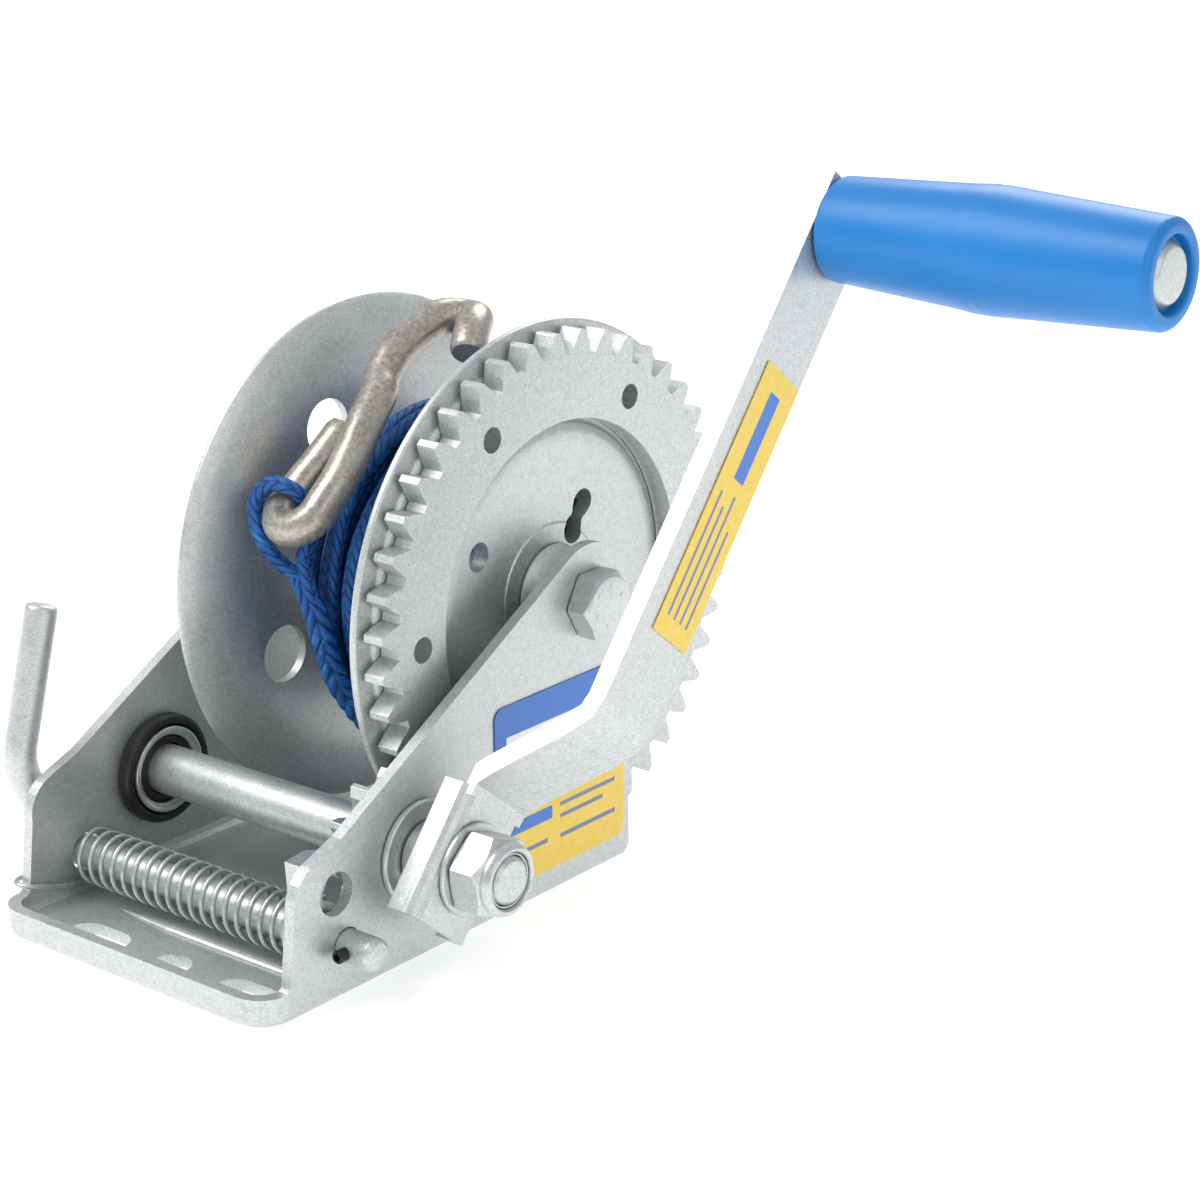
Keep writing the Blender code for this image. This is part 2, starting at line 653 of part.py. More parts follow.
def make_pinion(drive):
    """The pinion's gap meets the gear's tooth that is nearest to the line of centres."""
    pitch_angle = TAU / GEAR_TEETH
    nearest = round((DRIVE_ANGLE - GEAR_PHASE) / pitch_angle)
    lead = GEAR_PHASE + nearest * pitch_angle - DRIVE_ANGLE
    gap = DRIVE_ANGLE + math.pi - lead * GEAR_TEETH / PINION_TEETH
    outline = gear_outline(PINION_TEETH, ADDENDUM, gap + math.pi / PINION_TEETH)
    pinion = prism("pinion", outline, *PINION_X, "zinc", drive)
    hole = (PINION_X[0] - MM, PINION_X[1] + MM, 0, 0, SHAFT_RADIUS + GAP)
    boolean(pinion, pegs("pinion_bore", [hole], drive))


def make_bearings():
    place = (0, DRIVE_Y, DRIVE_Z)
    inner = -HALF_WIDTH + SHEET
    hole = 12.0 * MM - GAP
    turned("far_bush", [(-HALF_WIDTH - 1.2 * MM, 10.4 * MM), (-HALF_WIDTH - 1.2 * MM, hole),
                        (inner + GAP, hole), (inner + GAP, 13.6 * MM),
                        (inner + 1.0 * MM, 14.3 * MM), (inner + 3.4 * MM, 14.3 * MM),
                        (inner + 4.2 * MM, 13.6 * MM), (inner + 4.2 * MM, 12.0 * MM),
                        (inner + 3.0 * MM, 11.6 * MM), (inner + 3.0 * MM, 10.4 * MM)],
           "black", None, place, 28)
    turned("far_race", [(-HALF_WIDTH - 0.6 * MM, 8.9 * MM), (-HALF_WIDTH - 0.6 * MM, 10.1 * MM),
                        (inner + 3.3 * MM, 10.1 * MM), (inner + 3.3 * MM, 11.3 * MM),
                        (inner + 4.6 * MM, 11.3 * MM), (inner + 4.6 * MM, 10.2 * MM),
                        (inner + 3.6 * MM, 8.9 * MM)],
           "zinc", None, place, 28)
    turned("far_seal", [(-HALF_WIDTH, SHAFT_RADIUS + GAP), (-HALF_WIDTH, 8.6 * MM),
                        (inner + 3.4 * MM, 8.6 * MM), (inner + 3.4 * MM, SHAFT_RADIUS + GAP)],
           "black", None, place, 24)
    near = HALF_WIDTH
    turned("near_bush", [(near - SHEET - 0.9 * MM, SHAFT_RADIUS + GAP), (near - SHEET - 0.9 * MM, 9 * MM),
                         (near + GAP, 9 * MM), (near + GAP, 13.1 * MM),
                         (near + 1.2 * MM, 13.3 * MM), (near + 1.9 * MM, 12.8 * MM),
                         (near + 1.9 * MM, SHAFT_RADIUS + GAP)],
           "zinc", None, place, 28)


def arm_section(x_face, depth, half, s, lean):
    """Four corners across the arm at distance s, on a section that leans with the bend."""
    back = Vector((-math.cos(lean), math.sin(lean))) * depth
    return [(x_face, s, -half), (x_face, s, half),
            (x_face + back.x, s + back.y, half), (x_face + back.x, s + back.y, -half)]


def make_handle(drive):
    """One pressed arm: a channel-shaped hub, an outward joggle and a straight flat bar."""
    crank = pivot("crank_line", (0, 0, 0), drive, HANDLE_ANGLE)
    bend = math.atan2(ARM_FACE_X - HUB_FACE_X, BEND_HIGH - BEND_LOW)
    sections = []
    for share in (-1.0, -0.5, 0.0, 0.5, 1.0):
        turn = bend * (share + 1) / 2
        along = BEND_LOW + 3.0 * MM * share
        rise = max(share, 0.0) * 3.0 * MM * math.tan(bend) * 0.86 + 0.25 * MM * (1 - abs(share))
        sections.append((HUB_FACE_X + rise, along, turn))
    for share in (-1.0, -0.5, 0.0, 0.5, 1.0):
        turn = bend * (1 - share) / 2
        along = BEND_HIGH + 5.0 * MM * share
        drop = max(-share, 0.0) * 5.0 * MM * math.tan(bend) + 1.1 * MM * (1 - abs(share))
        sections.append((ARM_FACE_X - drop, along, turn))
    sections.append((ARM_FACE_X, HANDLE_RADIUS + ARM_TOP_MARGIN, 0.0))
    bm = bmesh.new()
    rings = []
    for x, s, lean in sections:
        corners = arm_section(x, ARM_THICKNESS if s > BEND_LOW else HUB_WALL,
                              ARM_HALF_WIDTH, s, lean)
        rings.append([bm.verts.new(c) for c in corners])
    bm.faces.new(rings[0])
    bm.faces.new(rings[-1])
    for first, second in zip(rings, rings[1:]):
        for i in range(4):
            j = (i + 1) % 4
            bm.faces.new((first[i], first[j], second[j], second[i]))
    arm = add("handle_arm", bm, "galvanised", crank)
    boolean(arm, make_hub_channel(crank), "UNION")
    holes = [(HUB_FACE_X - HUB_DEPTH, HUB_FACE_X + MM, 0, 0, STUD_RADIUS + GAP),
             (ARM_FACE_X - 2 * ARM_THICKNESS, ARM_FACE_X + MM, HANDLE_RADIUS, 0,
              SPINDLE_RADIUS + GAP)]
    boolean(arm, pegs("arm_holes", holes, crank))
    return crank


def make_hub_channel(crank):
    """The hub's face with a side wall folded back along each long edge."""
    face = HUB_FACE_X
    back = face - HUB_DEPTH
    out = HUB_HALF_WIDTH
    inn = out - HUB_WALL
    corner = arc((face - 4.5 * MM, out - 4.5 * MM), 4.5 * MM, 0, 90, 5)
    inside = arc((face - HUB_WALL - MM, inn - MM), MM, 90, 0, 2)
    half = corner + [(back, out), (back, inn)] + inside
    ring = half + [(x, -z) for x, z in reversed(half)]
    bm = bmesh.new()
    low = [bm.verts.new((x, -HUB_REACH, z)) for x, z in ring]
    high = [bm.verts.new((x, BEND_LOW - 0.6 * MM, z)) for x, z in ring]
    bm.faces.new(low)
    bm.faces.new(high)
    for i in range(len(ring)):
        j = (i + 1) % len(ring)
        bm.faces.new((low[i], low[j], high[j], high[i]))
    return add("hub_channel", bm, parent=crank)


def make_shaft(drive):
    end = -HALF_WIDTH - 3.2 * MM
    step = HUB_FACE_X - HUB_WALL - GAP
    turned("drive_shaft", [(end, 0), (end, SHAFT_RADIUS - MM), (end + MM, SHAFT_RADIUS),
                           (step - 0.5 * MM, SHAFT_RADIUS), (step - 0.5 * MM, STUD_RADIUS),
                           (STUD_END_X - 1.0 * MM, STUD_RADIUS),
                           (STUD_END_X, STUD_RADIUS - 1.0 * MM), (STUD_END_X, 0)],
           "galvanised", drive, steps=28)
    start = HALF_WIDTH + 2.2 * MM
    bore = SHAFT_RADIUS + GAP
    turned("shaft_collar", [(start, bore), (start, 8.5 * MM), (step - MM, 8.5 * MM),
                            (step - MM, bore)], "zinc", drive, steps=24)
    clip = end + 1.4 * MM
    turned("shaft_circlip", [(clip, SHAFT_RADIUS + 0.05 * MM), (clip, 9.6 * MM),
                             (clip + 1.0 * MM, 9.6 * MM), (clip + 1.0 * MM, SHAFT_RADIUS + 0.05 * MM)],
           "black", drive, steps=24)


def make_handle_fastener(drive):
    bore = STUD_RADIUS + GAP
    x = HUB_FACE_X + GAP
    turned("handle_washer", [(x, bore), (x, 11.3 * MM), (x + 1.0 * MM, 11.3 * MM),
                             (x + 1.2 * MM, 11.0 * MM), (x + 1.2 * MM, bore)],
           "zinc", drive, steps=28)
    x += 1.2 * MM + GAP
    turn = math.radians(10.0)
    hexed = hexagon(18.4 * MM, 10.4 * MM, turn)
    chamfer = hexagon(18.4 * MM, 9.2 * MM, turn)
    nut = [(x, bore), (x, chamfer), (x + 0.6 * MM, hexed), (x + 7.6 * MM, hexed),
           (x + 8.5 * MM, chamfer), (x + 8.6 * MM, 8.9 * MM), (x + 9.9 * MM, 8.8 * MM),
           (x + 10.8 * MM, 8.2 * MM), (x + 11.1 * MM, 7.4 * MM), (x + 10.6 * MM, 6.9 * MM),
           (x + 8.6 * MM, 6.9 * MM), (x + 8.4 * MM, bore)]
    turned("handle_nut", nut, "zinc", drive, steps=36)
    turned("nylon_insert", [(x + 8.9 * MM, bore), (x + 8.9 * MM, 6.6 * MM),
                            (x + 10.3 * MM, 6.6 * MM), (x + 10.3 * MM, bore)],
           "white_nylon", drive, steps=24)


def make_grip(drive, crank):
    """The hand grip turns freely on a headed spindle that is riveted into the arm."""
    tip = HANDLE_RADIUS
    start = ARM_FACE_X + 0.4 * MM
    end = start + GRIP_LENGTH
    bore = SPINDLE_RADIUS + GAP
    back = ARM_FACE_X - ARM_THICKNESS
    seat = end - 3.4 * MM
    spindle = [(back - 1.6 * MM, 0), (back - 1.6 * MM, 5.6 * MM), (back - 1.0 * MM, 7.2 * MM),
               (back - GAP, 7.2 * MM), (back - GAP, SPINDLE_RADIUS), (seat + GAP, SPINDLE_RADIUS),
               (seat + GAP, 8.1 * MM), (seat + 0.9 * MM, 8.1 * MM), (seat + 3.0 * MM, 6.5 * MM),
               (seat + 3.1 * MM, 0)]
    turned("grip_spindle", spindle, "zinc", crank, (0, tip, 0), 24)
    centre = Vector((0, tip * math.cos(HANDLE_ANGLE), tip * math.sin(HANDLE_ANGLE)))
    axis = pivot("grip_axis", centre, drive)
    profile = [(start, bore), (start, GRIP_END_RADIUS - 0.9 * MM), (start + 0.9 * MM, GRIP_END_RADIUS)]
    length = end - start
    middle = start + length * GRIP_MIDDLE
    profile += [(middle - 7 * MM, GRIP_MID_RADIUS - 0.5 * MM), (middle - 2 * MM, GRIP_MID_RADIUS),
                (middle + 3 * MM, GRIP_MID_RADIUS), (middle + 9 * MM, GRIP_MID_RADIUS - 0.4 * MM)]
    profile += [(end - 1.2 * MM, GRIP_END_RADIUS + 0.2 * MM), (end, GRIP_END_RADIUS - 1.2 * MM),
                (end, 9.6 * MM), (end - 0.6 * MM, 9.2 * MM), (seat, 9.2 * MM), (seat, bore)]
    turned("grip", profile, "blue_grip", axis, steps=28)


def make_arm_label(crank):
    """A plain sticker on the outer face of the arm."""
    face = ARM_FACE_X + 0.1 * MM
    start, end = 66.0 * MM, 137.5 * MM
    low, high = -10.4 * MM, 5.4 * MM
    outline = [(start, low), (end, low), (end, high), (start, high)]
    prism("arm_label", outline, face, face + 0.25 * MM, "sticker", crank)


def make_drive():
    drive = pivot("drive_axis", (0, DRIVE_Y, DRIVE_Z))
    make_shaft(drive)
    make_pinion(drive)
    crank = make_handle(drive)
    make_handle_fastener(drive)
    make_grip(drive, crank)
    make_arm_label(crank)


# ---------------------------------------------------------------- pawl

def make_pawl():
    axis = pivot("pawl_axis", (0, PAWL_Y, PAWL_Z))
    elbow = (LEVER_X, -12.4 * MM, 25.0 * MM)
    start = (ROD_NEAR_END_X, 0, 0)
    corner = (LEVER_X, 0, 0)
    top = (LEVER_X, -1.2 * MM, 64.0 * MM)
    route = [start] + rounded_corner(start, corner, elbow, 7.0 * MM)
    route += rounded_corner(corner, elbow, top, 14.0 * MM, 6)
    route += [top]
    rod = bar("pawl_rod", route, ROD_RADIUS, "galvanised", axis, 16)
    reach = ROD_RADIUS + MM
    hole = [(ROLL_PIN_X, -reach, 0), (ROLL_PIN_X, reach, 0)]
    boolean(rod, bar("roll_pin_hole", hole, ROLL_PIN_RADIUS + GAP, None, axis))
    pin = [(ROLL_PIN_X, -6.7 * MM, 0), (ROLL_PIN_X, 5.2 * MM, 0)]
    bar("roll_pin", pin, ROLL_PIN_RADIUS, "black", axis)
    nose = [(-9.4, 21.6), (-2.6, 22.2), (5.4, 19.4), (6.9, 17.0), (5.6, 14.8), (3.2, 14.4),
            (-0.6, 17.2), (-3.8, 12.0), (-1.6, 8.4)]
    outline = [(y * MM, z * MM) for y, z in reversed(nose)]
    outline += arc((0, 0), 8.0 * MM, 170, 430, 16)
    bm = bmesh.new()
    fill_prism(bm, outline, *PAWL_X)
    pawl = add("pawl", bm, "zinc", axis)
    hole = (PAWL_X[0] - MM, PAWL_X[1] + MM, 0, 0, ROD_RADIUS + GAP)
    boolean(pawl, pegs("pawl_bore", [hole], axis))


def make_spring():
    """A long torsion spring round the rod, with one leg hooked round the far plate's front."""
    x0, x1 = SPRING_X
    route = []
    per_turn = 8
    for i in range(SPRING_TURNS * per_turn + 1):
        a = TAU * i / per_turn - TAU / 4
        x = x0 + (x1 - x0) * i / (SPRING_TURNS * per_turn)
        route.append((x, SPRING_RADIUS * math.cos(a), SPRING_RADIUS * math.sin(a)))
    leg = [(-48.2, -15.5, -2.4), (-47.9, -19.0, -2.5), (-46.4, -20.5, -2.6), (-44.2, -20.4, -2.7),
           (-42.6, -18.8, -3.0), (-41.9, -13.0, -4.8), (-41.7, -6.0, -6.4)]
    leg = [tuple(v * MM for v in place) for place in leg]
    near = [(x1 + 1.2 * MM, 6.2 * MM, -2.0 * MM), (x1 + 1.6 * MM, 4.0 * MM, 8.0 * MM)]
    tube("pawl_spring", leg + route + near, SPRING_WIRE_RADIUS, "spring_steel", None, 1,
         (0, PAWL_Y, PAWL_Z))


def main():
    clear_scene()
    make_frame()
    make_side_label()
    make_axle()
    make_drum()
    make_bearings()
    make_drive()
    make_pawl()
    make_spring()


main()
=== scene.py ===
"""Looks of the boat trailer winch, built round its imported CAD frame.

Lengths are in metres in the CAD's frame: +X runs along the axles towards the crank, -Y is the
end of the base with the mounting holes, +Z is up, and the origin is under the base.
"""
import json
import math

import bmesh
import bpy
from mathutils import Matrix, Vector

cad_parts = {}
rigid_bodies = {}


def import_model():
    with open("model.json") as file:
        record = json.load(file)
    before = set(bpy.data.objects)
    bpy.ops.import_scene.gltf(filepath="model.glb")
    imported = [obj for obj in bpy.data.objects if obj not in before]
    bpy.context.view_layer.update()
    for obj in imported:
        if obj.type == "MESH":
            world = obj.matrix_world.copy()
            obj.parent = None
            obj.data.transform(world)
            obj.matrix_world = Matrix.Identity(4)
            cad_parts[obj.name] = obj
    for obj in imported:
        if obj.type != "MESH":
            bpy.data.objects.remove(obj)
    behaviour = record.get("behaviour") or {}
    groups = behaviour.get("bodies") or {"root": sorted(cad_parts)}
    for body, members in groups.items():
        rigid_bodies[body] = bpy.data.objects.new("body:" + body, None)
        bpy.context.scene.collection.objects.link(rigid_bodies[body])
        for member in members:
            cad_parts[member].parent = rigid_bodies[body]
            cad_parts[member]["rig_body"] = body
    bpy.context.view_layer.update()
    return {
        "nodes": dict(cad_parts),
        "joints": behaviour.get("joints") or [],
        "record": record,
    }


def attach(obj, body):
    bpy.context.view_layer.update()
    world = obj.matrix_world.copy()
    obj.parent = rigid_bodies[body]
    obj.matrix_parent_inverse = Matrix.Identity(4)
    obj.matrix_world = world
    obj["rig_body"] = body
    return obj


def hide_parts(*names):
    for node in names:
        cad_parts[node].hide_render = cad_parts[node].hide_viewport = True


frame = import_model()

MM = 0.001
TAU = 2.0 * math.pi
PIVOTS = {joint["name"]: Vector(joint["pos_m"]) for joint in frame["joints"]}
AXLE = PIVOTS["drum_spin"]
DRIVE = PIVOTS["drive_spin"]
GRIP = PIVOTS["grip_spin"]
PAWL = PIVOTS["pawl_pivot"]
HANDLE_ANGLE = math.atan2(GRIP.z - DRIVE.z, GRIP.y - DRIVE.y)
ALONG_ARM = Vector((0, math.cos(HANDLE_ANGLE), math.sin(HANDLE_ANGLE)))
ACROSS_ARM = Vector((0, -math.sin(HANDLE_ANGLE), math.cos(HANDLE_ANGLE)))

# Sizes and faces of the pieces that are made again here.
CORNER_STEPS = 12
DRUM_BORE = 11.0 * MM
FAR_FLANGE_X = -24.0 * MM
FAR_FLANGE_SHEET = 2.4 * MM
FAR_HOLE_CIRCLE = 41.7 * MM
FAR_HOLE_RADIUS = 7.5 * MM
FAR_HOLE_ANGLE = 116.5
NEAR_FLANGE_X = 29.4 * MM
PLATE_X = 46.5 * MM
HUB_FACE_X = 63.0 * MM
ARM_FACE_X = 87.6 * MM

# Rope and hook, in the drum's own frame.
ROPE_RADIUS = 2.0 * MM
WINDING_TOP = 44.4
SPLICE_RADIUS = 3.4
SPLICE_TAPER = 9.0 * MM
HOOK_RADIUS = 4.7 * MM
HOOK_ANGLE = math.radians(130.0)
HOOK_DISTANCE = 49.4 * MM
BRAID_STRANDS = 4
BRAID_PITCH = 6.4 * MM
BRAID_LEAN = 1.3  # how far a strand runs on, in strands, as it crosses its column
SPLICE_STRANDS = 4
SPLICE_PITCH = 8.5 * MM


# ---------------------------------------------------------------- material nodes

def node(tree, kind, inputs=None, **settings):
    """A shader node with its settings and inputs; an input is a value or another socket."""
    made = tree.nodes.new("ShaderNode" + kind)
    for key, value in settings.items():
        setattr(made, key, value)
    for key, value in (inputs or {}).items():
        if isinstance(value, bpy.types.NodeSocket):
            tree.links.new(value, made.inputs[key])
        else:
            made.inputs[key].default_value = value
    return made


def maths(tree, operation, a, b=0.0):
    return node(tree, "Math", {0: a, 1: b}, operation=operation).outputs[0]


def spread(tree, value, low, high, to_low=0.0, to_high=1.0):
    """Maps a value from one range to another, and holds it there."""
    inputs = {"Value": value, "From Min": low, "From Max": high,
              "To Min": to_low, "To Max": to_high}
    return node(tree, "MapRange", inputs).outputs[0]


def mix(tree, share, a, b):
    made = node(tree, "Mix", {0: share, 6: a, 7: b}, data_type="RGBA")
    return made.outputs[2]


def speckle(tree, scale, detail=3.0, stretch=(1, 1, 1)):
    """Noise over the piece's own coordinates."""
    place = node(tree, "TexCoord").outputs["Object"]
    place = node(tree, "Mapping", {"Vector": place, "Scale": stretch}).outputs[0]
    inputs = {"Vector": place, "Scale": scale, "Detail": detail, "Roughness": 0.6}
    return node(tree, "TexNoise", inputs).outputs["Fac"]


def material(name):
    made = bpy.data.materials.new(name)
    made.use_nodes = True
    tree = made.node_tree
    return made, tree, tree.nodes["Principled BSDF"]


def set_shader(tree, shader, **inputs):
    for key, value in inputs.items():
        socket = shader.inputs[key.replace("_", " ")]
        if isinstance(value, bpy.types.NodeSocket):
            tree.links.new(value, socket)
        else:
            socket.default_value = value


def bump(tree, height, strength, distance):
    inputs = {"Height": height, "Strength": strength, "Distance": distance}
    return node(tree, "Bump", inputs).outputs[0]


def metal(name, light, dark, roughness, metallic, grain=2600.0, relief=0.25, stains=0.25):
    """Coated steel: a fine sparkling grain, cloudy patches and a few darker scuffs."""
    made, tree, shader = material(name)
    fine = speckle(tree, grain, 2.0)
    coarse = speckle(tree, grain / 4, 4.0)
    clouds = speckle(tree, 70.0, 5.0)
    scuffs = spread(tree, speckle(tree, 260.0, 6.0), 0.6, 0.75, 0.0, stains)
    tone = maths(tree, "ADD", maths(tree, "MULTIPLY", fine, 0.7),
                 maths(tree, "MULTIPLY", coarse, 0.3))
    tone = spread(tree, tone, 0.38, 0.62)
    tone = maths(tree, "ADD", maths(tree, "MULTIPLY", tone, 0.82),
                 maths(tree, "MULTIPLY", spread(tree, clouds, 0.35, 0.65), 0.18))
    colour = mix(tree, tone, (*dark, 1), (*light, 1))
    colour = mix(tree, scuffs, colour, (dark[0] * 0.55, dark[1] * 0.55, dark[2] * 0.55, 1))
    rough = spread(tree, maths(tree, "ADD", fine, clouds), 0.7, 1.3,
                   roughness - 0.07, roughness + 0.09)
    set_shader(tree, shader, Base_Color=colour, Roughness=rough, Metallic=metallic,
               Normal=bump(tree, coarse, relief, 0.12 * MM))
    return made


def moulded(name, light, dark, roughness, grain=500.0, relief=0.1, coat=0.0):
    """Moulded plastic with faint flow marks and a soft skin."""
    made, tree, shader = material(name)
    flow = speckle(tree, grain / 8, 4.0, (0.35, 1, 1))
    skin = speckle(tree, grain * 5, 2.0)
    colour = mix(tree, spread(tree, flow, 0.3, 0.7), (*dark, 1), (*light, 1))
    rough = spread(tree, flow, 0.3, 0.7, roughness - 0.05, roughness + 0.06)
    set_shader(tree, shader, Base_Color=colour, Roughness=rough, Coat_Weight=coat,
               Coat_Roughness=0.2, Normal=bump(tree, skin, relief, 0.05 * MM))
    return made


def braided(name):
    """Columns of slanted strands that meet in a V, with painted shade in the grooves between strands
    and painted highlight streaks on them; UV is (along, around) in strands.
    """
    made, tree, shader = material(name)
    uv = node(tree, "TexCoord").outputs["UV"]
    split = node(tree, "SeparateXYZ", {0: uv}).outputs
    across = maths(tree, "FRACT", split[1])
    even = maths(tree, "GREATER_THAN", maths(tree, "FRACT", maths(tree, "MULTIPLY", split[1], 0.5)),
                 0.5)
    lean = maths(tree, "MULTIPLY", maths(tree, "SUBTRACT", even, 0.5), 2.0 * BRAID_LEAN)
    lean = maths(tree, "MULTIPLY", maths(tree, "SUBTRACT", across, 0.5), lean)
    strand = maths(tree, "ADD", maths(tree, "MULTIPLY", split[0], 2.0), lean)
    wave = maths(tree, "SINE", maths(tree, "MULTIPLY", maths(tree, "FRACT", strand), math.pi))
    column = maths(tree, "SINE", maths(tree, "MULTIPLY", across, math.pi))
    height = maths(tree, "MULTIPLY", maths(tree, "POWER", wave, 0.55),
                   maths(tree, "ADD", maths(tree, "MULTIPLY", maths(tree, "POWER", column, 0.5), 0.6),
                         0.4))
    threads = node(tree, "CombineXYZ", {0: maths(tree, "MULTIPLY", strand, 9.0),
                                        1: maths(tree, "MULTIPLY", split[1], 1.3)}).outputs[0]
    fibre = node(tree, "TexNoise", {"Vector": threads, "Scale": 1.0, "Detail": 3.0,
                                    "Roughness": 0.7}).outputs["Fac"]
    # Painted shade: the colour darkens from the strand crowns down into the grooves between strands,
    # and the fibre noise adds real random tone on top.
    tone = maths(tree, "MULTIPLY", spread(tree, height, 0.1, 0.8, 0.12, 1.0),
                 spread(tree, fibre, 0.25, 0.7, 0.35, 1.0))
    patches = speckle(tree, 160.0, 3.0)
    colour = mix(tree, tone, (0.001, 0.006, 0.04, 1), (0.012, 0.14, 0.5, 1))
    # Painted highlight: bright blue streaks are mixed in where the fibre and patch noise meet.
    colour = mix(tree, spread(tree, maths(tree, "MULTIPLY", fibre, patches), 0.27, 0.42, 0.0, 0.7),
                 colour, (0.05, 0.34, 0.76, 1))
    relief = maths(tree, "ADD", height, maths(tree, "MULTIPLY", fibre, 0.35))
    set_shader(tree, shader, Base_Color=colour, Roughness=0.45, Specular_IOR_Level=0.35,
               Normal=bump(tree, relief, 0.9, 0.4 * MM))
    return made


def stripe(tree, value, low, high, soft):
    """1 between two values, with soft ends."""
    rise = spread(tree, value, low - soft, low + soft)
    fall = spread(tree, value, high - soft, high + soft, 1.0, 0.0)
    return maths(tree, "MULTIPLY", rise, fall)


def printed(name, ground, along, across, blocks):
    """A plain printed film; a block is (colour, along low, along high, across low, high)."""
    made, tree, shader = material(name)
    place = node(tree, "TexCoord").outputs["Object"]
    spots = []
    for axis in (along, across):
        dot = node(tree, "VectorMath", {0: place, 1: axis}, operation="DOT_PRODUCT")
        spots.append(dot.outputs["Value"])
    colour = node(tree, "RGB").outputs[0]
    colour.default_value = (*ground, 1)
    faded = spread(tree, speckle(tree, 500.0, 4.0), 0.35, 0.65, 0.0, 0.12)
    colour = mix(tree, faded, colour, (0.95, 0.95, 0.9, 1))
    soft = 0.08 * MM
    for paint, low, high, left, right in blocks:
        share = maths(tree, "MULTIPLY", stripe(tree, spots[0], low, high, soft),
                      stripe(tree, spots[1], left, right, soft))
        colour = mix(tree, share, colour, (*paint, 1))
    set_shader(tree, shader, Base_Color=colour, Roughness=0.32, Coat_Weight=0.3,
               Coat_Roughness=0.15, Normal=bump(tree, speckle(tree, 900.0), 0.06, 0.05 * MM))
    return made


GALVANISED = metal("galvanised", (0.73, 0.755, 0.735), (0.47, 0.49, 0.48), 0.42, 0.72)
BRIGHT_ZINC = metal("bright_zinc", (0.7, 0.72, 0.71), (0.48, 0.5, 0.49), 0.36, 0.8)
SPRING_STEEL = metal("spring_steel", (0.66, 0.67, 0.65), (0.48, 0.49, 0.48), 0.34, 0.85, 1800.0,
                     0.1, 0.1)
RAW_STEEL = metal("raw_steel", (0.56, 0.52, 0.45), (0.34, 0.31, 0.27), 0.34, 0.7, 900.0, 0.15,
                  0.15)
BLACK_STEEL = metal("black_steel", (0.05, 0.05, 0.05), (0.015, 0.015, 0.015), 0.4, 0.5)
BLACK_PLASTIC = moulded("black_plastic", (0.014, 0.014, 0.013), (0.006, 0.006, 0.006), 0.42)
BLUE_PLASTIC = moulded("blue_plastic", (0.004, 0.215, 0.6), (0.003, 0.185, 0.54), 0.4, 500.0,
                       0.08, 0.05)
NYLON = moulded("nylon", (0.80, 0.80, 0.77), (0.70, 0.70, 0.66), 0.45)
ROPE = braided("rope")

MATERIALS = {
    "galvanised_steel": GALVANISED, "zinc_steel": BRIGHT_ZINC, "spring_steel": SPRING_STEEL,
    "raw_steel": RAW_STEEL, "black_steel": BLACK_STEEL, "black_plastic": BLACK_PLASTIC,
    "blue_plastic": BLUE_PLASTIC, "nylon": NYLON, "rope": ROPE,
}
SLOTS = {part["node"]: part["material_slot"] for part in frame["record"]["subparts"]}


# ---------------------------------------------------------------- mesh helpers

def finish_piece(piece, name, paint=None):
    """Gives a piece its material, and lets it stand for the CAD node of that name."""
    piece.data.materials.clear()
    piece.data.materials.append(paint or MATERIALS[SLOTS[name]])
    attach(piece, frame["nodes"][name]["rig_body"])
    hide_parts(name)
    return piece


def new_piece(name, bm, sharp=35.0):
    bmesh.ops.recalc_face_normals(bm, faces=bm.faces[:])
    mesh = bpy.data.meshes.new(name)
    bm.to_mesh(mesh)
    bm.free()
    mesh.shade_smooth()
    mesh.set_sharp_from_angle(angle=math.radians(sharp))
    piece = bpy.data.objects.new(name, mesh)
    bpy.context.collection.objects.link(piece)
    return piece


def settle(piece):
    """Applies a piece's modifiers to its mesh."""
    graph = bpy.context.evaluated_depsgraph_get()
    mesh = bpy.data.meshes.new_from_object(piece.evaluated_get(graph))
    piece.modifiers.clear()
    piece.data = mesh


def cut(piece, cutter, operation="DIFFERENCE"):
    modifier = piece.modifiers.new("cut", "BOOLEAN")
    modifier.operation = operation
    modifier.solver = "EXACT"
    modifier.object = cutter
    settle(piece)
    bpy.data.objects.remove(cutter, do_unlink=True)
    piece.data.shade_smooth()
    piece.data.set_sharp_from_angle(angle=math.radians(30.0))


def soften(name, width, segments=2):
    """A copy of a CAD node with its edges rounded off, in the node's place."""
    piece = bpy.data.objects.new(name + "_fine", frame["nodes"][name].data.copy())
    bpy.context.collection.objects.link(piece)
    bm = bmesh.new()
    bm.from_mesh(piece.data)
    bmesh.ops.remove_doubles(bm, verts=bm.verts[:], dist=0.005 * MM)
    bmesh.ops.dissolve_limit(bm, angle_limit=math.radians(1.0), verts=bm.verts[:],
                             edges=bm.edges[:])
    bm.to_mesh(piece.data)
    bm.free()
    rounding = piece.modifiers.new("rounding", "BEVEL")
    rounding.width = width
    rounding.segments = segments
    rounding.limit_method = "ANGLE"
    rounding.angle_limit = math.radians(35.0)
    rounding.harden_normals = True
    settle(piece)
    return finish_piece(piece, name)


def arc(centre, radius, start, end, steps):
    """Points on an arc; the angles are in degrees."""
    points = []
    for i in range(steps + 1):
        a = math.radians(start + (end - start) * i / steps)
        points.append((centre[0] + radius * math.cos(a), centre[1] + radius * math.sin(a)))
    return points


def smooth(guides, steps):
    """A Catmull-Rom curve through the guide points."""
    guides = [Vector(g) for g in guides]
    ends = [2 * guides[0] - guides[1]] + guides + [2 * guides[-1] - guides[-2]]
    route = []
    for a, b, c, d in zip(ends, ends[1:], ends[2:], ends[3:]):
        for i in range(steps):
            t = i / steps
            point = 2 * b + (c - a) * t + (2 * a - 5 * b + 4 * c - d) * t * t
            route.append((point + (3 * b - a - 3 * c + d) * t ** 3) / 2)
    route.append(guides[-1])
    return route


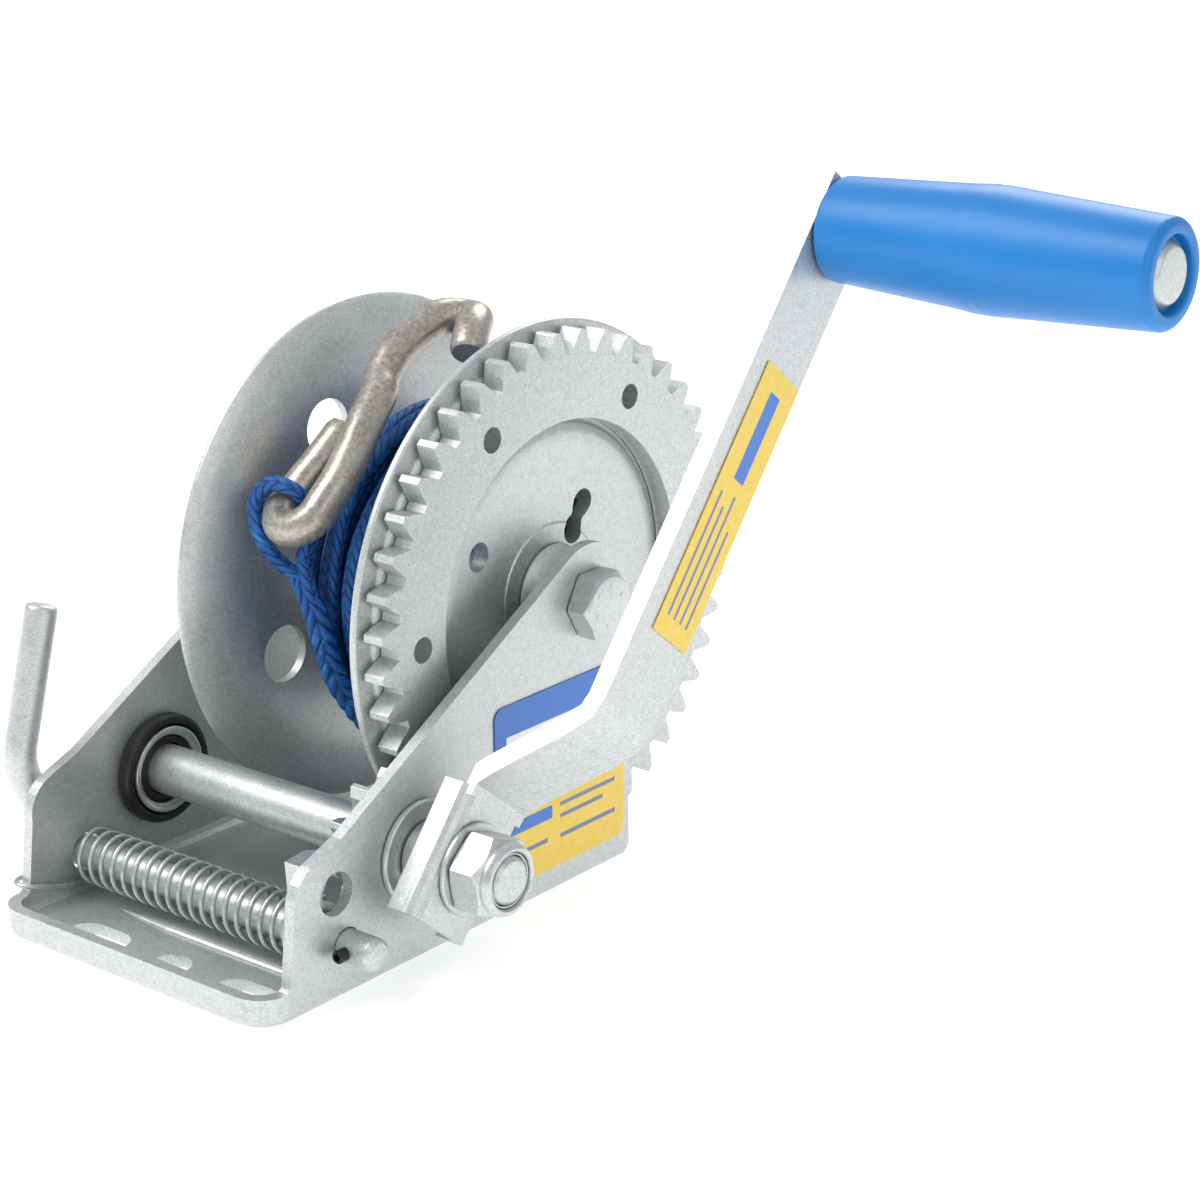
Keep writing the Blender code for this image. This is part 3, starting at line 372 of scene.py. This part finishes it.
def turned(name, profile, centre, steps=96, sharp=30.0):
    """Turns an (x, radius) profile about the X axis through a centre.

    A profile that starts and ends on the axis is solid, and any other is a closed ring.
    """
    bm = bmesh.new()
    rings = []
    for x, radius in profile:
        count = 1 if radius == 0 else steps
        ring = []
        for i in range(count):
            a = TAU * i / steps
            ring.append(bm.verts.new((x, centre.y + radius * math.cos(a),
                                      centre.z + radius * math.sin(a))))
        rings.append(ring)
    pairs = list(zip(rings, rings[1:]))
    if len(rings[0]) > 1:
        pairs.append((rings[-1], rings[0]))
    for first, second in pairs:
        for i in range(steps):
            j = (i + 1) % steps
            corners = [first[i % len(first)], first[j % len(first)]]
            corners += [second[j % len(second)], second[i % len(second)]]
            bm.faces.new(list(dict.fromkeys(corners)))
    return new_piece(name, bm, sharp)


def pegs(holes, steps=48):
    """Cylinders along X for cutting: (x0, x1, y, z, radius)."""
    bm = bmesh.new()
    for x0, x1, y, z, radius in holes:
        outline = arc((y, z), radius, 0, 360, steps)[:-1]
        low = [bm.verts.new((x0, *p)) for p in outline]
        high = [bm.verts.new((x1, *p)) for p in outline]
        bm.faces.new(low)
        bm.faces.new(high)
        for i in range(steps):
            j = (i + 1) % steps
            bm.faces.new((low[i], low[j], high[j], high[i]))
    return new_piece("cutter", bm)


def bar(name, points, radius, steps=24, strands=0, pitch=1.0, round_ends=0.0):
    """A round bar swept along points; its radius may be a function of (distance, angle).

    With strands it gets a UV map that counts strand pitches along and strands around.
    """
    points = [Vector(p) for p in points]
    bm = bmesh.new()
    layer = bm.loops.layers.uv.new("UVMap") if strands else None
    rings, distances = [], []
    distance = 0.0
    across = (points[1] - points[0]).orthogonal().normalized()
    total = sum((b - a).length for a, b in zip(points, points[1:]))
    for i, point in enumerate(points):
        along = (points[min(i + 1, len(points) - 1)] - points[max(i - 1, 0)]).normalized()
        across = (across - along * across.dot(along)).normalized()
        side = along.cross(across)
        if i:
            distance += (point - points[i - 1]).length
        inset = min(distance, total - distance)
        ring = []
        for k in range(steps):
            a = TAU * k / steps
            r = radius(distance, k / steps) if callable(radius) else radius
            if round_ends and inset < round_ends:
                r -= round_ends - math.sqrt(max(round_ends ** 2 - (round_ends - inset) ** 2, 0))
            ring.append(bm.verts.new(point + (across * math.cos(a) + side * math.sin(a)) * r))
        rings.append(ring)
        distances.append(distance)
    bm.faces.new(rings[0])
    bm.faces.new(rings[-1])
    for i, (first, second) in enumerate(zip(rings, rings[1:])):
        for k in range(steps):
            j = (k + 1) % steps
            face = bm.faces.new((first[k], first[j], second[j], second[k]))
            if layer:
                ends = ((distances[i], k), (distances[i], k + 1),
                        (distances[i + 1], k + 1), (distances[i + 1], k))
                for loop, (s, turn) in zip(face.loops, ends):
                    loop[layer].uv = (s / pitch, turn / steps * strands)
    return new_piece(name, bm, 60.0 if strands else 40.0)


def rounded_corner(before, corner, after, radius):
    """Points of an arc that rounds the corner of a bar's route."""
    a = (Vector(before) - Vector(corner)).normalized()
    b = (Vector(after) - Vector(corner)).normalized()
    half = a.angle(b) / 2.0
    centre = Vector(corner) + (a + b).normalized() * radius / math.sin(half)
    start = Vector(corner) + a * radius / math.tan(half) - centre
    end = Vector(corner) + b * radius / math.tan(half) - centre
    sweep = start.angle(end)
    points = []
    for i in range(CORNER_STEPS + 1):
        t = i / CORNER_STEPS
        blend = start * math.sin((1 - t) * sweep) + end * math.sin(t * sweep)
        points.append(centre + blend / math.sin(sweep))
    return points


# ---------------------------------------------------------------- camera and light

def make_camera():
    data = bpy.data.cameras.new("camera")
    data.lens = 87.55
    data.sensor_width = 36.0
    data.clip_start = 0.02
    camera = bpy.data.objects.new("camera", data)
    right = Vector((0.77833, 0.62780, -0.00822))
    up = Vector((-0.19186, 0.25029, 0.94897))
    turn = Matrix((right, up, right.cross(up))).transposed().to_4x4()
    camera.matrix_world = Matrix.Translation((0.48350, -0.48268, 0.30264)) @ turn
    bpy.context.collection.objects.link(camera)
    bpy.context.scene.camera = camera


def area_light(name, place, target, width, power):
    data = bpy.data.lights.new(name, "AREA")
    data.shape = "DISK"
    data.size = width
    data.energy = power
    light = bpy.data.objects.new(name, data)
    light.location = place
    light.rotation_euler = (Vector(target) - Vector(place)).to_track_quat("-Z", "Y").to_euler()
    bpy.context.collection.objects.link(light)


def make_studio():
    bm = bmesh.new()
    half = 9.0
    corners = [bm.verts.new(p) for p in ((-half, -half, 0), (half, -half, 0),
                                         (half, half, 0), (-half, half, 0))]
    bm.faces.new(corners)
    floor = new_piece("floor", bm)
    floor.location.z = -0.2 * MM
    made, tree, shader = material("pale_floor")
    set_shader(tree, shader, Base_Color=(0.86, 0.86, 0.86, 1), Roughness=0.7,
               Emission_Color=(1, 1, 1, 1), Emission_Strength=0.5)
    floor.data.materials.append(made)
    world = bpy.data.worlds.new("studio")
    world.use_nodes = True
    background = world.node_tree.nodes["Background"]
    background.inputs[0].default_value = (0.93, 0.96, 1.0, 1)
    background.inputs[1].default_value = 0.6
    bpy.context.scene.world = world
    bpy.context.scene.view_settings.view_transform = "Standard"
    area_light("key", (-0.55, -0.6, 1.15), (0, 0, 0.05), 0.9, 11.0)
    area_light("fill", (1.25, -0.35, 0.75), (0.03, 0, 0.08), 0.9, 2.4)
    area_light("back", (-0.3, 1.0, 0.9), (0, 0.03, 0.1), 0.8, 6.0)


# ---------------------------------------------------------------- rope and hook

def on_drum(x, radius, angle):
    """A point over the drum; x and radius in mm, and the angle in degrees from +Y."""
    a = math.radians(angle)
    return AXLE + Vector((x, radius * math.cos(a), radius * math.sin(a))) * MM


def on_hook(x, along, out=0.0):
    """A point in mm in the hook's plane: along it, and out from it, away from the drum."""
    a = HOOK_ANGLE
    distance = HOOK_DISTANCE + out * MM
    return AXLE + Vector((x * MM, distance * math.cos(a) + along * MM * math.sin(a),
                          distance * math.sin(a) - along * MM * math.cos(a)))


def winding_route():
    """The wound turns, from the anchor at the near flange out to the start of the tail.

    A layer is (turns, x at its end in mm, radius in mm).  The outer layers lie loosely.
    """
    layers = ((9.2, -10.4, 30.4), (8.3, 26.6, 34.1), (5.2, -10.2, 37.8), (3.97, 6.0, 41.8))
    start_x, start_angle = 26.8, 150.0
    per_turn = 60
    points = []
    x, angle = start_x, start_angle
    last_radius = layers[0][2]
    for number, (turns, end_x, radius) in enumerate(layers):
        steps = round(turns * per_turn)
        wander = (0.0, 0.15, 0.9, 1.7)[number]
        for i in range(steps):
            t = i / steps
            climb = min(i / (per_turn / 5), 1.0)
            r = last_radius + (radius - last_radius) * climb
            turn = angle - 360.0 * turns * t
            wave = math.sin(math.radians(turn) * 1.37 + number) + 0.6 * math.sin(
                math.radians(turn) * 2.71)
            ends = min(1.0, 6 * t, 6 * (1 - t))
            if number == 3:
                t = t + 0.12 * math.sin(TAU * t * 1.5) * ends
            points.append(on_drum(x + (end_x - x) * t + wander * wave * ends, r, turn))
        x, angle, last_radius = end_x, angle - 360.0 * turns, radius
    return points


def tail_guides():
    r = WINDING_TOP + SPLICE_RADIUS + 0.3
    return [on_drum(3.5, r, 218), on_drum(1.4, r, 202), on_drum(0.0, r, 188),
            on_drum(-2.6, r, 178.5), on_drum(-6.4, r + 0.6, 171.5)]


def eye_guides():
    return [on_drum(-7.0, 48.9, 170.5), on_hook(-11.8, -30.9, -6.4), on_hook(-15.4, -28.0, -0.6),
            on_hook(-16.8, -22.8, 4.6), on_hook(-12.6, -18.8, 7.7), on_hook(-6.6, -18.0, 6.6),
            on_hook(-3.9, -18.9, 1.0), on_hook(-4.4, -22.5, -4.8), on_drum(-5.2, 50.0, 164.5)]


def braid(strands, pitch, depth, base):
    """The radius of a braided rope at (distance, share of a turn)."""
    def radius(distance, share):
        across = (share * strands) % 1.0
        lean = BRAID_LEAN if math.floor(share * strands) % 2 else -BRAID_LEAN
        wave = math.sin(math.pi * ((2.0 * distance / pitch + lean * (across - 0.5)) % 1.0))
        column = math.sin(math.pi * across)
        return base - depth + depth * wave ** 0.55 * (0.4 + 0.6 * column ** 0.5)
    return radius


def make_rope():
    turns = winding_route()
    lead = smooth([turns[-2], on_drum(6.4, 42.6, 248), on_drum(5.2, 45.4, 233)] + tail_guides()[:1],
                  16)[1:-1]
    tail = smooth(tail_guides(), 12)
    eye = smooth([tail[-1]] + eye_guides(), 12)[1:]
    end = smooth([eye[-1], on_drum(-3.4, 49.0, 172), on_drum(-1.2, 48.4, 180),
                  on_drum(1.0, 48.4, 189), on_drum(1.9, 48.4, 194)], 8)[1:]
    route = turns + lead + tail + eye + end
    rope = bar("rope", route, braid(BRAID_STRANDS, BRAID_PITCH, 0.2 * MM, ROPE_RADIUS + 0.05 * MM),
               16, BRAID_STRANDS, BRAID_PITCH)
    for name in ("rope_winding", "rope_tail", "rope_eye"):
        finish_piece(rope, name)
    return rope, route


def make_splice():
    """The thick part of the tail, where the rope's end is tucked back inside itself."""
    guides = tail_guides()
    before = guides[0] + (guides[0] - guides[1]) * 0.45
    after = guides[-1] + (guides[-1] - guides[-2]) * 0.35
    route = smooth([before] + guides + [after], 14)
    total = sum((b - a).length for a, b in zip(route, route[1:]))
    thick = braid(SPLICE_STRANDS, SPLICE_PITCH, 0.9 * MM, SPLICE_RADIUS * MM)

    def radius(distance, share):
        ends = min(distance, total - distance) / SPLICE_TAPER
        return thick(distance, share) * (0.72 + 0.28 * min(ends, 1.0))
    splice = bar("rope_splice", route, radius, 36, SPLICE_STRANDS, SPLICE_PITCH)
    splice.data.materials.append(ROPE)
    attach(splice, "drum")
    return splice


def make_hook():
    """One bar bent into an S, whose open end reaches over the top of the drum."""
    places = [on_hook(-9.0, 5.5), on_hook(-9.8, -4.0), on_hook(-10.9, -12.5, 0.2)]
    bend = arc((-3.9, -19.3), 7.3, 180, 360, 7)
    for i, (x, along) in enumerate(bend):
        places.append(on_hook(x, along, 0.4 + 3.8 * i / 7))
    places += [on_hook(3.6, -11.0, 4.4), on_hook(2.2, -2.5, 4.4), on_hook(0.2, 5.5, 4.3)]
    over = [(-2.2, -22.5, 50.0), (-5.0, -18.3, 52.8), (-6.6, -12.3, 57.2), (-7.1, -6.6, 60.0),
            (-6.9, -1.5, 61.9), (-6.3, 3.5, 63.9), (-4.5, 7.9, 64.2), (-1.0, 10.2, 63.8),
            (3.0, 8.5, 64.1), (5.8, 4.6, 63.6), (8.2, 0.6, 61.4), (10.2, -2.6, 58.4)]
    places += [AXLE + Vector(place) * MM for place in over]
    hook = bar("s_hook_fine", smooth(places, 5), HOOK_RADIUS, 32, round_ends=0.6 * MM)
    return finish_piece(hook, "s_hook")


# ---------------------------------------------------------------- drum

def profile_of(name, centre, lean=0.0):
    """The (x, radius) outline of a turned CAD node, on the half-plane at an angle from +Y.

    A flat end face may have no vertex on the axis, so the outline is closed there.
    """
    node_piece = frame["nodes"][name]
    bm = bmesh.new()
    bm.from_mesh(node_piece.data)
    level = Matrix.Translation(centre) @ Matrix.Rotation(-lean, 4, "X")
    bm.transform(level @ Matrix.Translation(-centre) @ node_piece.matrix_world)
    bmesh.ops.remove_doubles(bm, verts=bm.verts[:], dist=0.005 * MM)
    on_plane = {v for v in bm.verts if abs(v.co.z - centre.z) < 0.01 * MM
                and v.co.y > centre.y - 0.01 * MM}
    ends = [v for v in on_plane if v.co.y - centre.y < 0.01 * MM]
    at = min(ends or on_plane, key=lambda v: v.co.x)
    chain = []
    while at:
        chain.append(at)
        ahead = [e.other_vert(at) for e in at.link_edges if e.other_vert(at) in on_plane]
        ahead = [v for v in ahead if v not in chain]
        at = ahead[0] if ahead else None
    outline = [(v.co.x, max(v.co.y - centre.y, 0.0)) for v in chain]
    bm.free()
    outline = [(x, 0 if radius < 0.01 * MM else radius) for x, radius in outline]
    if outline[0][1] == 0 and outline[-1][1] > 0:
        outline.append((outline[-1][0], 0))
    return outline


def eased(profile, reach):
    """Rounds off the corners of a turned profile."""
    closed = profile[0][1] != 0
    points = []
    for i, corner in enumerate(profile):
        if not closed and i in (0, len(profile) - 1):
            points.append(corner)
            continue
        corner = Vector(corner)
        back = Vector(profile[i - 1]) - corner
        ahead = Vector(profile[(i + 1) % len(profile)]) - corner
        r = min(reach, 0.42 * back.length, 0.42 * ahead.length)
        start = corner + back.normalized() * r
        end = corner + ahead.normalized() * r
        for t in (0.0, 0.25, 0.5, 0.75, 1.0):
            points.append(tuple(start * (1 - t) ** 2 + corner * 2 * t * (1 - t) + end * t * t))
    return points


def turn_again(name, centre, reach=0.3 * MM):
    """A turned CAD node again, finely divided and with its corners rounded off."""
    piece = turned(name + "_fine", eased(profile_of(name, centre), reach), centre, 96, 35.0)
    return finish_piece(piece, name)


def hexagon(across_flats, x0, x1, centre, corner):
    """A hexagonal prism along X with a corner at the given angle."""
    outline = []
    for k in range(6):
        a = math.radians(corner + 60 * k)
        r = across_flats / math.sqrt(3)
        outline.append((centre.y + r * math.cos(a), centre.z + r * math.sin(a)))
    bm = bmesh.new()
    low = [bm.verts.new((x0, *p)) for p in outline]
    high = [bm.verts.new((x1, *p)) for p in outline]
    bm.faces.new(low)
    bm.faces.new(high)
    for i in range(6):
        j = (i + 1) % 6
        bm.faces.new((low[i], low[j], high[j], high[i]))
    return new_piece("hexagon", bm)


def flatten(name, profile, across_flats, centre, corner):
    """Gives a turned body six flats, which leaves curved chamfers at its ends."""
    piece = turned(name, profile, centre, 144)
    x0, x1 = profile[0][0], profile[-1][0]
    cut(piece, hexagon(across_flats, x0 - MM, x1 + MM, centre, corner), "INTERSECT")
    rounding = piece.modifiers.new("rounding", "BEVEL")
    rounding.width = 0.12 * MM
    rounding.segments = 2
    rounding.limit_method = "ANGLE"
    rounding.angle_limit = math.radians(28.0)
    settle(piece)
    return piece


def make_axle():
    """The axle bolt with its head, and the lock nut on the far side."""
    x = PLATE_X + 0.3 * MM
    head = [(x, 0), (x, 8.8 * MM), (x + 0.3 * MM, 9.3 * MM), (x + 5.0 * MM, 9.3 * MM),
            (x + 6.2 * MM, 7.5 * MM), (x + 6.3 * MM, 7.2 * MM), (x + 6.25 * MM, 0)]
    finish_piece(flatten("bolt_head", head, 16 * MM, AXLE, 0.0), "axle_bolt")
    marks = []
    for k in range(5):
        a = math.radians(20 + 60 * k)
        marks.append((x + 6.0 * MM, x + 6.4 * MM, AXLE.y + 5.2 * MM * math.cos(a),
                      AXLE.z + 5.2 * MM * math.sin(a), 0.55 * MM))
    finish_piece(pegs(marks, 16), "axle_bolt").name = "bolt_head_marks"
    end = -PLATE_X - 13.5 * MM
    shank = [(end, 0), (end, 4.2 * MM), (end + 0.8 * MM, 5.0 * MM), (x, 5.0 * MM), (x, 0)]
    finish_piece(turned("bolt_shank", shank, AXLE), "axle_bolt")
    start = -PLATE_X - 2.6 * MM
    bore = 5.3 * MM
    nut = [(start - 6.9 * MM, 0), (start - 6.9 * MM, 8.0 * MM), (start - 5.9 * MM, 9.8 * MM),
           (start - 0.5 * MM, 9.8 * MM), (start, 9.0 * MM), (start, 0)]
    body = flatten("far_nut", nut, 17 * MM, AXLE, 30.0)
    cut(body, pegs([(start - 10 * MM, start + MM, AXLE.y, AXLE.z, bore)]))
    finish_piece(body, "axle_nut")
    collar = [(start - 6.7 * MM, bore), (start - 6.7 * MM, 7.7 * MM), (start - 8.7 * MM, 7.5 * MM),
              (start - 9.5 * MM, 6.9 * MM), (start - 9.5 * MM, 6.3 * MM), (start - 8.9 * MM, 5.9 * MM),
              (start - 8.9 * MM, bore)]
    finish_piece(turned("far_nut_collar", eased(collar, 0.3 * MM), AXLE), "axle_nut")
    turn_again("axle_washer", AXLE)
    turn_again("axle_spacer", AXLE)


def make_crank_nut():
    """The flanged end of the lock nut, its hexagon, and the threaded stud inside it."""
    x = HUB_FACE_X + 1.8 * MM
    bore = 6.4 * MM
    body = [(x, 0), (x, 9.2 * MM), (x + 0.7 * MM, 10.7 * MM), (x + 7.0 * MM, 10.7 * MM),
            (x + 8.6 * MM, 8.7 * MM), (x + 8.6 * MM, 0)]
    nut = flatten("crank_nut", body, 18.4 * MM, DRIVE, 40.0)
    cut(nut, pegs([(x - MM, x + 10 * MM, DRIVE.y, DRIVE.z, bore)]))
    finish_piece(nut, "handle_nut")
    collar = [(x + 8.4 * MM, 6.9 * MM), (x + 8.4 * MM, 8.9 * MM), (x + 9.9 * MM, 8.9 * MM),
              (x + 11.0 * MM, 8.1 * MM), (x + 11.1 * MM, 7.3 * MM), (x + 10.5 * MM, 6.9 * MM)]
    finish_piece(turned("crank_nut_collar", eased(collar, 0.7 * MM), DRIVE, 120), "handle_nut")
    turn_again("nylon_insert", DRIVE)
    turn_again("handle_washer", DRIVE)
    turn_again("shaft_collar", DRIVE, 0.5 * MM)
    turn_again("shaft_circlip", DRIVE, 0.15 * MM)
    profile = profile_of("drive_shaft", DRIVE)
    stud_end = profile[-1][0]
    radius = 6.0 * MM
    thread = []
    for i in range(9):
        at = stud_end - (1.2 + 1.5 * (8 - i)) * MM
        thread += [(at - 0.55 * MM, radius), (at, radius - 0.75 * MM)]
    shaft = [p for p in profile if p[0] < HUB_FACE_X + MM] + thread
    shaft += [(stud_end - 0.9 * MM, radius - 0.2 * MM), (stud_end, radius - 1.1 * MM),
              (stud_end, 0)]
    piece = turned("drive_shaft_fine", eased(shaft, 0.12 * MM), DRIVE, 96)
    finish_piece(piece, "drive_shaft")


def make_bushes():
    turn_again("far_bush", DRIVE, 0.8 * MM)
    turn_again("far_race", DRIVE, 0.4 * MM)
    turn_again("far_seal", DRIVE, 0.4 * MM)
    turn_again("near_bush", DRIVE, 0.5 * MM)
    turn_again("near_hub_bush", AXLE, 1.2 * MM)
    turn_again("far_hub_bush", AXLE, 0.6 * MM)
    turn_again("drum_barrel", AXLE)


def make_grip():
    """A two-tapered grip with a fine mould line, and the spindle that it turns on."""
    profile = eased(profile_of("grip", GRIP), 7.0 * MM)
    fattest = max(profile, key=lambda p: p[1])
    line = fattest[0]
    seam = []
    for x, radius in profile:
        sink = 0.12 * MM * math.exp(-((x - line) / (0.25 * MM)) ** 2) if radius > 12 * MM else 0
        seam.append((x, radius - sink))
    finish_piece(turned("grip_fine", seam, GRIP, 160, 35.0), "grip")
    spindle = eased(profile_of("grip_spindle", GRIP, HANDLE_ANGLE), 0.5 * MM)
    finish_piece(turned("grip_spindle_fine", spindle, GRIP, 96, 35.0), "grip_spindle")


def make_flanges():
    """The far disc with its curled rim, and the near disc with its raised seat and slot."""
    face = FAR_FLANGE_X
    outer = [(0.0, 42.0), (0.0, 48.0), (-0.4, 53.5), (-1.5, 59.0), (-3.1, 63.8), (-4.7, 66.9)]
    curve = [(face + p[0] * MM, p[1] * MM) for p in smooth([(*p, 0) for p in outer], 8)]
    curl = [(face + x * MM, r * MM) for x, r in ((-5.3, 67.6), (-5.9, 67.8), (-6.5, 67.5),
                                                 (-6.7, 66.9))]
    inner = [(-6.3, 66.0), (-5.1, 63.4), (-3.7, 59.2), (-2.7, 53.5), (-2.4, 48.0), (-2.4, 42.0)]
    back = [(face + p[0] * MM, p[1] * MM) for p in smooth([(*p, 0) for p in inner], 8)]
    bore = DRUM_BORE
    profile = [(face, bore)] + curve + curl + back + [(face - FAR_FLANGE_SHEET, bore)]
    flange = turned("far_flange_fine", profile, AXLE, 160)
    holes = []
    for k in range(4):
        a = math.radians(FAR_HOLE_ANGLE + 90.0 * k)
        holes.append((face - 6 * MM, face + MM, AXLE.y + FAR_HOLE_CIRCLE * math.cos(a),
                      AXLE.z + FAR_HOLE_CIRCLE * math.sin(a), FAR_HOLE_RADIUS))
    cut(flange, pegs(holes))
    finish_piece(flange, "far_flange")

    front = NEAR_FLANGE_X + 2.0 * MM
    seat = NEAR_FLANGE_X + 2.9 * MM
    profile = [(NEAR_FLANGE_X, bore), (NEAR_FLANGE_X, 68.6 * MM), (NEAR_FLANGE_X + 0.4 * MM, 69 * MM),
               (front - 0.4 * MM, 69 * MM), (front, 68.6 * MM), (front, 63.4 * MM),
               (seat, 62.5 * MM), (seat, 43.8 * MM), (seat + 1.2 * MM, 42.9 * MM),
               (seat + 2.2 * MM, 41.0 * MM), (seat + 2.4 * MM, 38.6 * MM), (seat + 1.4 * MM, 21 * MM),
               (seat + 1.4 * MM, 18.0 * MM), (seat + 1.8 * MM, 17.6 * MM), (seat + 1.8 * MM, bore)]
    flange = turned("near_flange_fine", eased(profile, 0.8 * MM), AXLE, 192, 50.0)
    reach = (NEAR_FLANGE_X - MM, seat + 4 * MM)
    spots = [(31.8, 150.0, 3.8), (16.6, 58.0, 3.5), (24.2, 58.0, 3.5)]
    spots += [(17.6 + 0.7 * k, 58.0, 2.3 + 0.11 * (k - 4) ** 2 / 2) for k in range(9)]
    for r, angle, radius in spots:
        a = math.radians(angle)
        hole = (*reach, AXLE.y + r * MM * math.cos(a), AXLE.z + r * MM * math.sin(a), radius * MM)
        cut(flange, pegs([hole], 40))
    finish_piece(flange, "near_flange")


def make_spring():
    """An open torsion spring round the pawl's rod; one leg hooks round the far side plate."""
    wire = 0.65 * MM
    radius = 6.75 * MM
    x0, x1, turns = -41.6 * MM, 33.6 * MM, 19
    coil = []
    per_turn = 28
    for i in range(turns * per_turn + 1):
        a = TAU * i / per_turn - TAU / 4
        coil.append((x0 + (x1 - x0) * i / (turns * per_turn), radius * math.cos(a),
                     radius * math.sin(a)))
    leg = [(-48.2, -15.5, -2.4), (-47.9, -19.0, -2.5), (-46.4, -20.5, -2.6), (-44.2, -20.4, -2.7),
           (-42.6, -18.8, -3.0), (-41.9, -13.0, -4.8), (-41.7, -6.0, -6.4)]
    leg = smooth([Vector(p) * MM for p in leg] + coil[:2], 6)[:-12]
    near = smooth([coil[-2], coil[-1], (x1 + 1.2 * MM, 6.2 * MM, -2.0 * MM),
                   (x1 + 1.6 * MM, 4.0 * MM, 8.0 * MM)], 6)[7:]
    route = [PAWL + Vector(p) for p in leg + coil + near]
    finish_piece(bar("pawl_spring_fine", route, wire, 14), "pawl_spring")


def make_lever():
    """The rod with its bent lever, and the hollow split pin through its near end."""
    x = -52.5 * MM
    start = Vector((56.7 * MM, 0, 0))
    corner = Vector((x, 0, 0))
    elbow = Vector((x, -12.4 * MM, 25.0 * MM))
    top = Vector((x, -1.2 * MM, 64.0 * MM))
    straight = [start + (corner - start) * share for share in (0.0, 0.004, 0.009, 0.016, 0.03)]
    route = straight + rounded_corner(start, corner, elbow, 7.0 * MM)
    route += rounded_corner(corner, elbow, top, 14.0 * MM)
    route += [top + (elbow - top) * share for share in (0.12, 0.07, 0.045, 0.025, 0.01, 0.0)]
    rod = bar("pawl_rod_fine", [PAWL + p for p in route], 4.1 * MM, 40, round_ends=1.5 * MM)
    finish_piece(rod, "pawl_rod")
    pin_x = 49.6 * MM
    ends = [PAWL + Vector((pin_x, y * MM, 0)) for y in (-6.7, -6.4, 4.9, 5.2)]
    pin = bar("roll_pin_fine", ends, 1.65 * MM, 32, round_ends=0.25 * MM)
    hollow = [PAWL + Vector((pin_x, y * MM, 0)) for y in (-9.0, 9.0)]
    cut(pin, bar("cutter", hollow, 0.95 * MM, 24))
    finish_piece(pin, "roll_pin")


def make_label(name, corners, face, along, across, radius, paint):
    """A thin film with rounded corners on a face that looks along +X."""
    low, high, left, right = [v * MM for v in corners]
    outline = []
    for s, n, start in ((high, left, -90), (high, right, 0), (low, right, 90), (low, left, 180)):
        s += -radius if s == high else radius
        n += -radius if n == right else radius
        outline += arc((s, n), radius, start, start + 90, 8)
    bm = bmesh.new()
    rows = []
    for x in (face, face + 0.25 * MM):
        rows.append([bm.verts.new(Vector((x, 0, 0)) + along * s + across * n) for s, n in outline])
    bm.faces.new(rows[0])
    bm.faces.new(rows[1])
    for i in range(len(outline)):
        j = (i + 1) % len(outline)
        bm.faces.new((rows[0][i], rows[0][j], rows[1][j], rows[1][i]))
    finish_piece(new_piece(name + "_film", bm), name, paint)


def make_labels():
    """Plain printed films with blocks and bars of colour and no words."""
    blue = (0.03, 0.17, 0.6)
    white = (0.9, 0.9, 0.88)
    ink = (0.16, 0.2, 0.34)
    yellow = (0.86, 0.58, 0.02)
    blocks = [(blue, 0.0, 70.0, 34.0, 60.0), (white, 0.0, 70.0, 33.2, 34.0),
              (white, 19.0, 52.0, 42.0, 46.5), (blue, 18.0, 36.0, 26.5, 30.0),
              (blue, 18.0, 36.0, 20.0, 23.5)]
    for row, (left, right) in enumerate(((39.0, 60.0), (39.0, 57.5), (39.0, 61.0), (39.0, 56.0))):
        blocks.append((ink, left, right, 28.6 - 3.2 * row, 29.7 - 3.2 * row))
    blocks += [(ink, 18.0, 34.0, 14.0, 15.2), (ink, 39.0, 61.0, 13.6, 14.8)]
    blocks = [(paint, *[v * MM for v in spans]) for paint, *spans in blocks]
    paint = printed("side_film", yellow, (0, 1, 0), (0, 0, 1), blocks)
    make_label("side_label", (14.7, 64.5, 6.5, 54.7), PLATE_X + 0.1 * MM, Vector((0, 1, 0)),
               Vector((0, 0, 1)), 3.0 * MM, paint)

    start = DRIVE.dot(ALONG_ARM)
    middle = DRIVE.dot(ACROSS_ARM)
    blocks = [(blue, 108.5, 132.0, -4.8, -0.2)]
    for row, (low, high) in enumerate(((71.0, 104.0), (71.0, 101.0), (71.0, 105.0), (71.0, 97.0))):
        blocks.append((ink, low, high, 1.6 - 2.9 * row, 2.5 - 2.9 * row))
    spans = [(paint, start + a * MM, start + b * MM, middle + c * MM, middle + d * MM)
             for paint, a, b, c, d in blocks]
    paint = printed("arm_film", yellow, tuple(ALONG_ARM), tuple(ACROSS_ARM), spans)
    corners = [start / MM + 66.0, start / MM + 137.5, middle / MM - 10.4, middle / MM + 5.4]
    make_label("arm_label", corners, ARM_FACE_X + 0.1 * MM, ALONG_ARM, ACROSS_ARM, 0.4 * MM, paint)


def make_plain_nodes():
    """CAD nodes whose shape is right get rounded edges."""
    soften("frame", 0.45 * MM)
    soften("gear_wheel", 0.5 * MM, 3)
    soften("handle_arm", 0.6 * MM, 3)
    soften("pinion", 0.3 * MM)
    soften("pawl", 0.4 * MM)


make_camera()
rope, route = make_rope()
splice = make_splice()
hook = make_hook()
make_studio()
make_flanges()
make_axle()
make_bushes()
make_crank_nut()
make_grip()
make_spring()
make_lever()
make_labels()
make_plain_nodes()
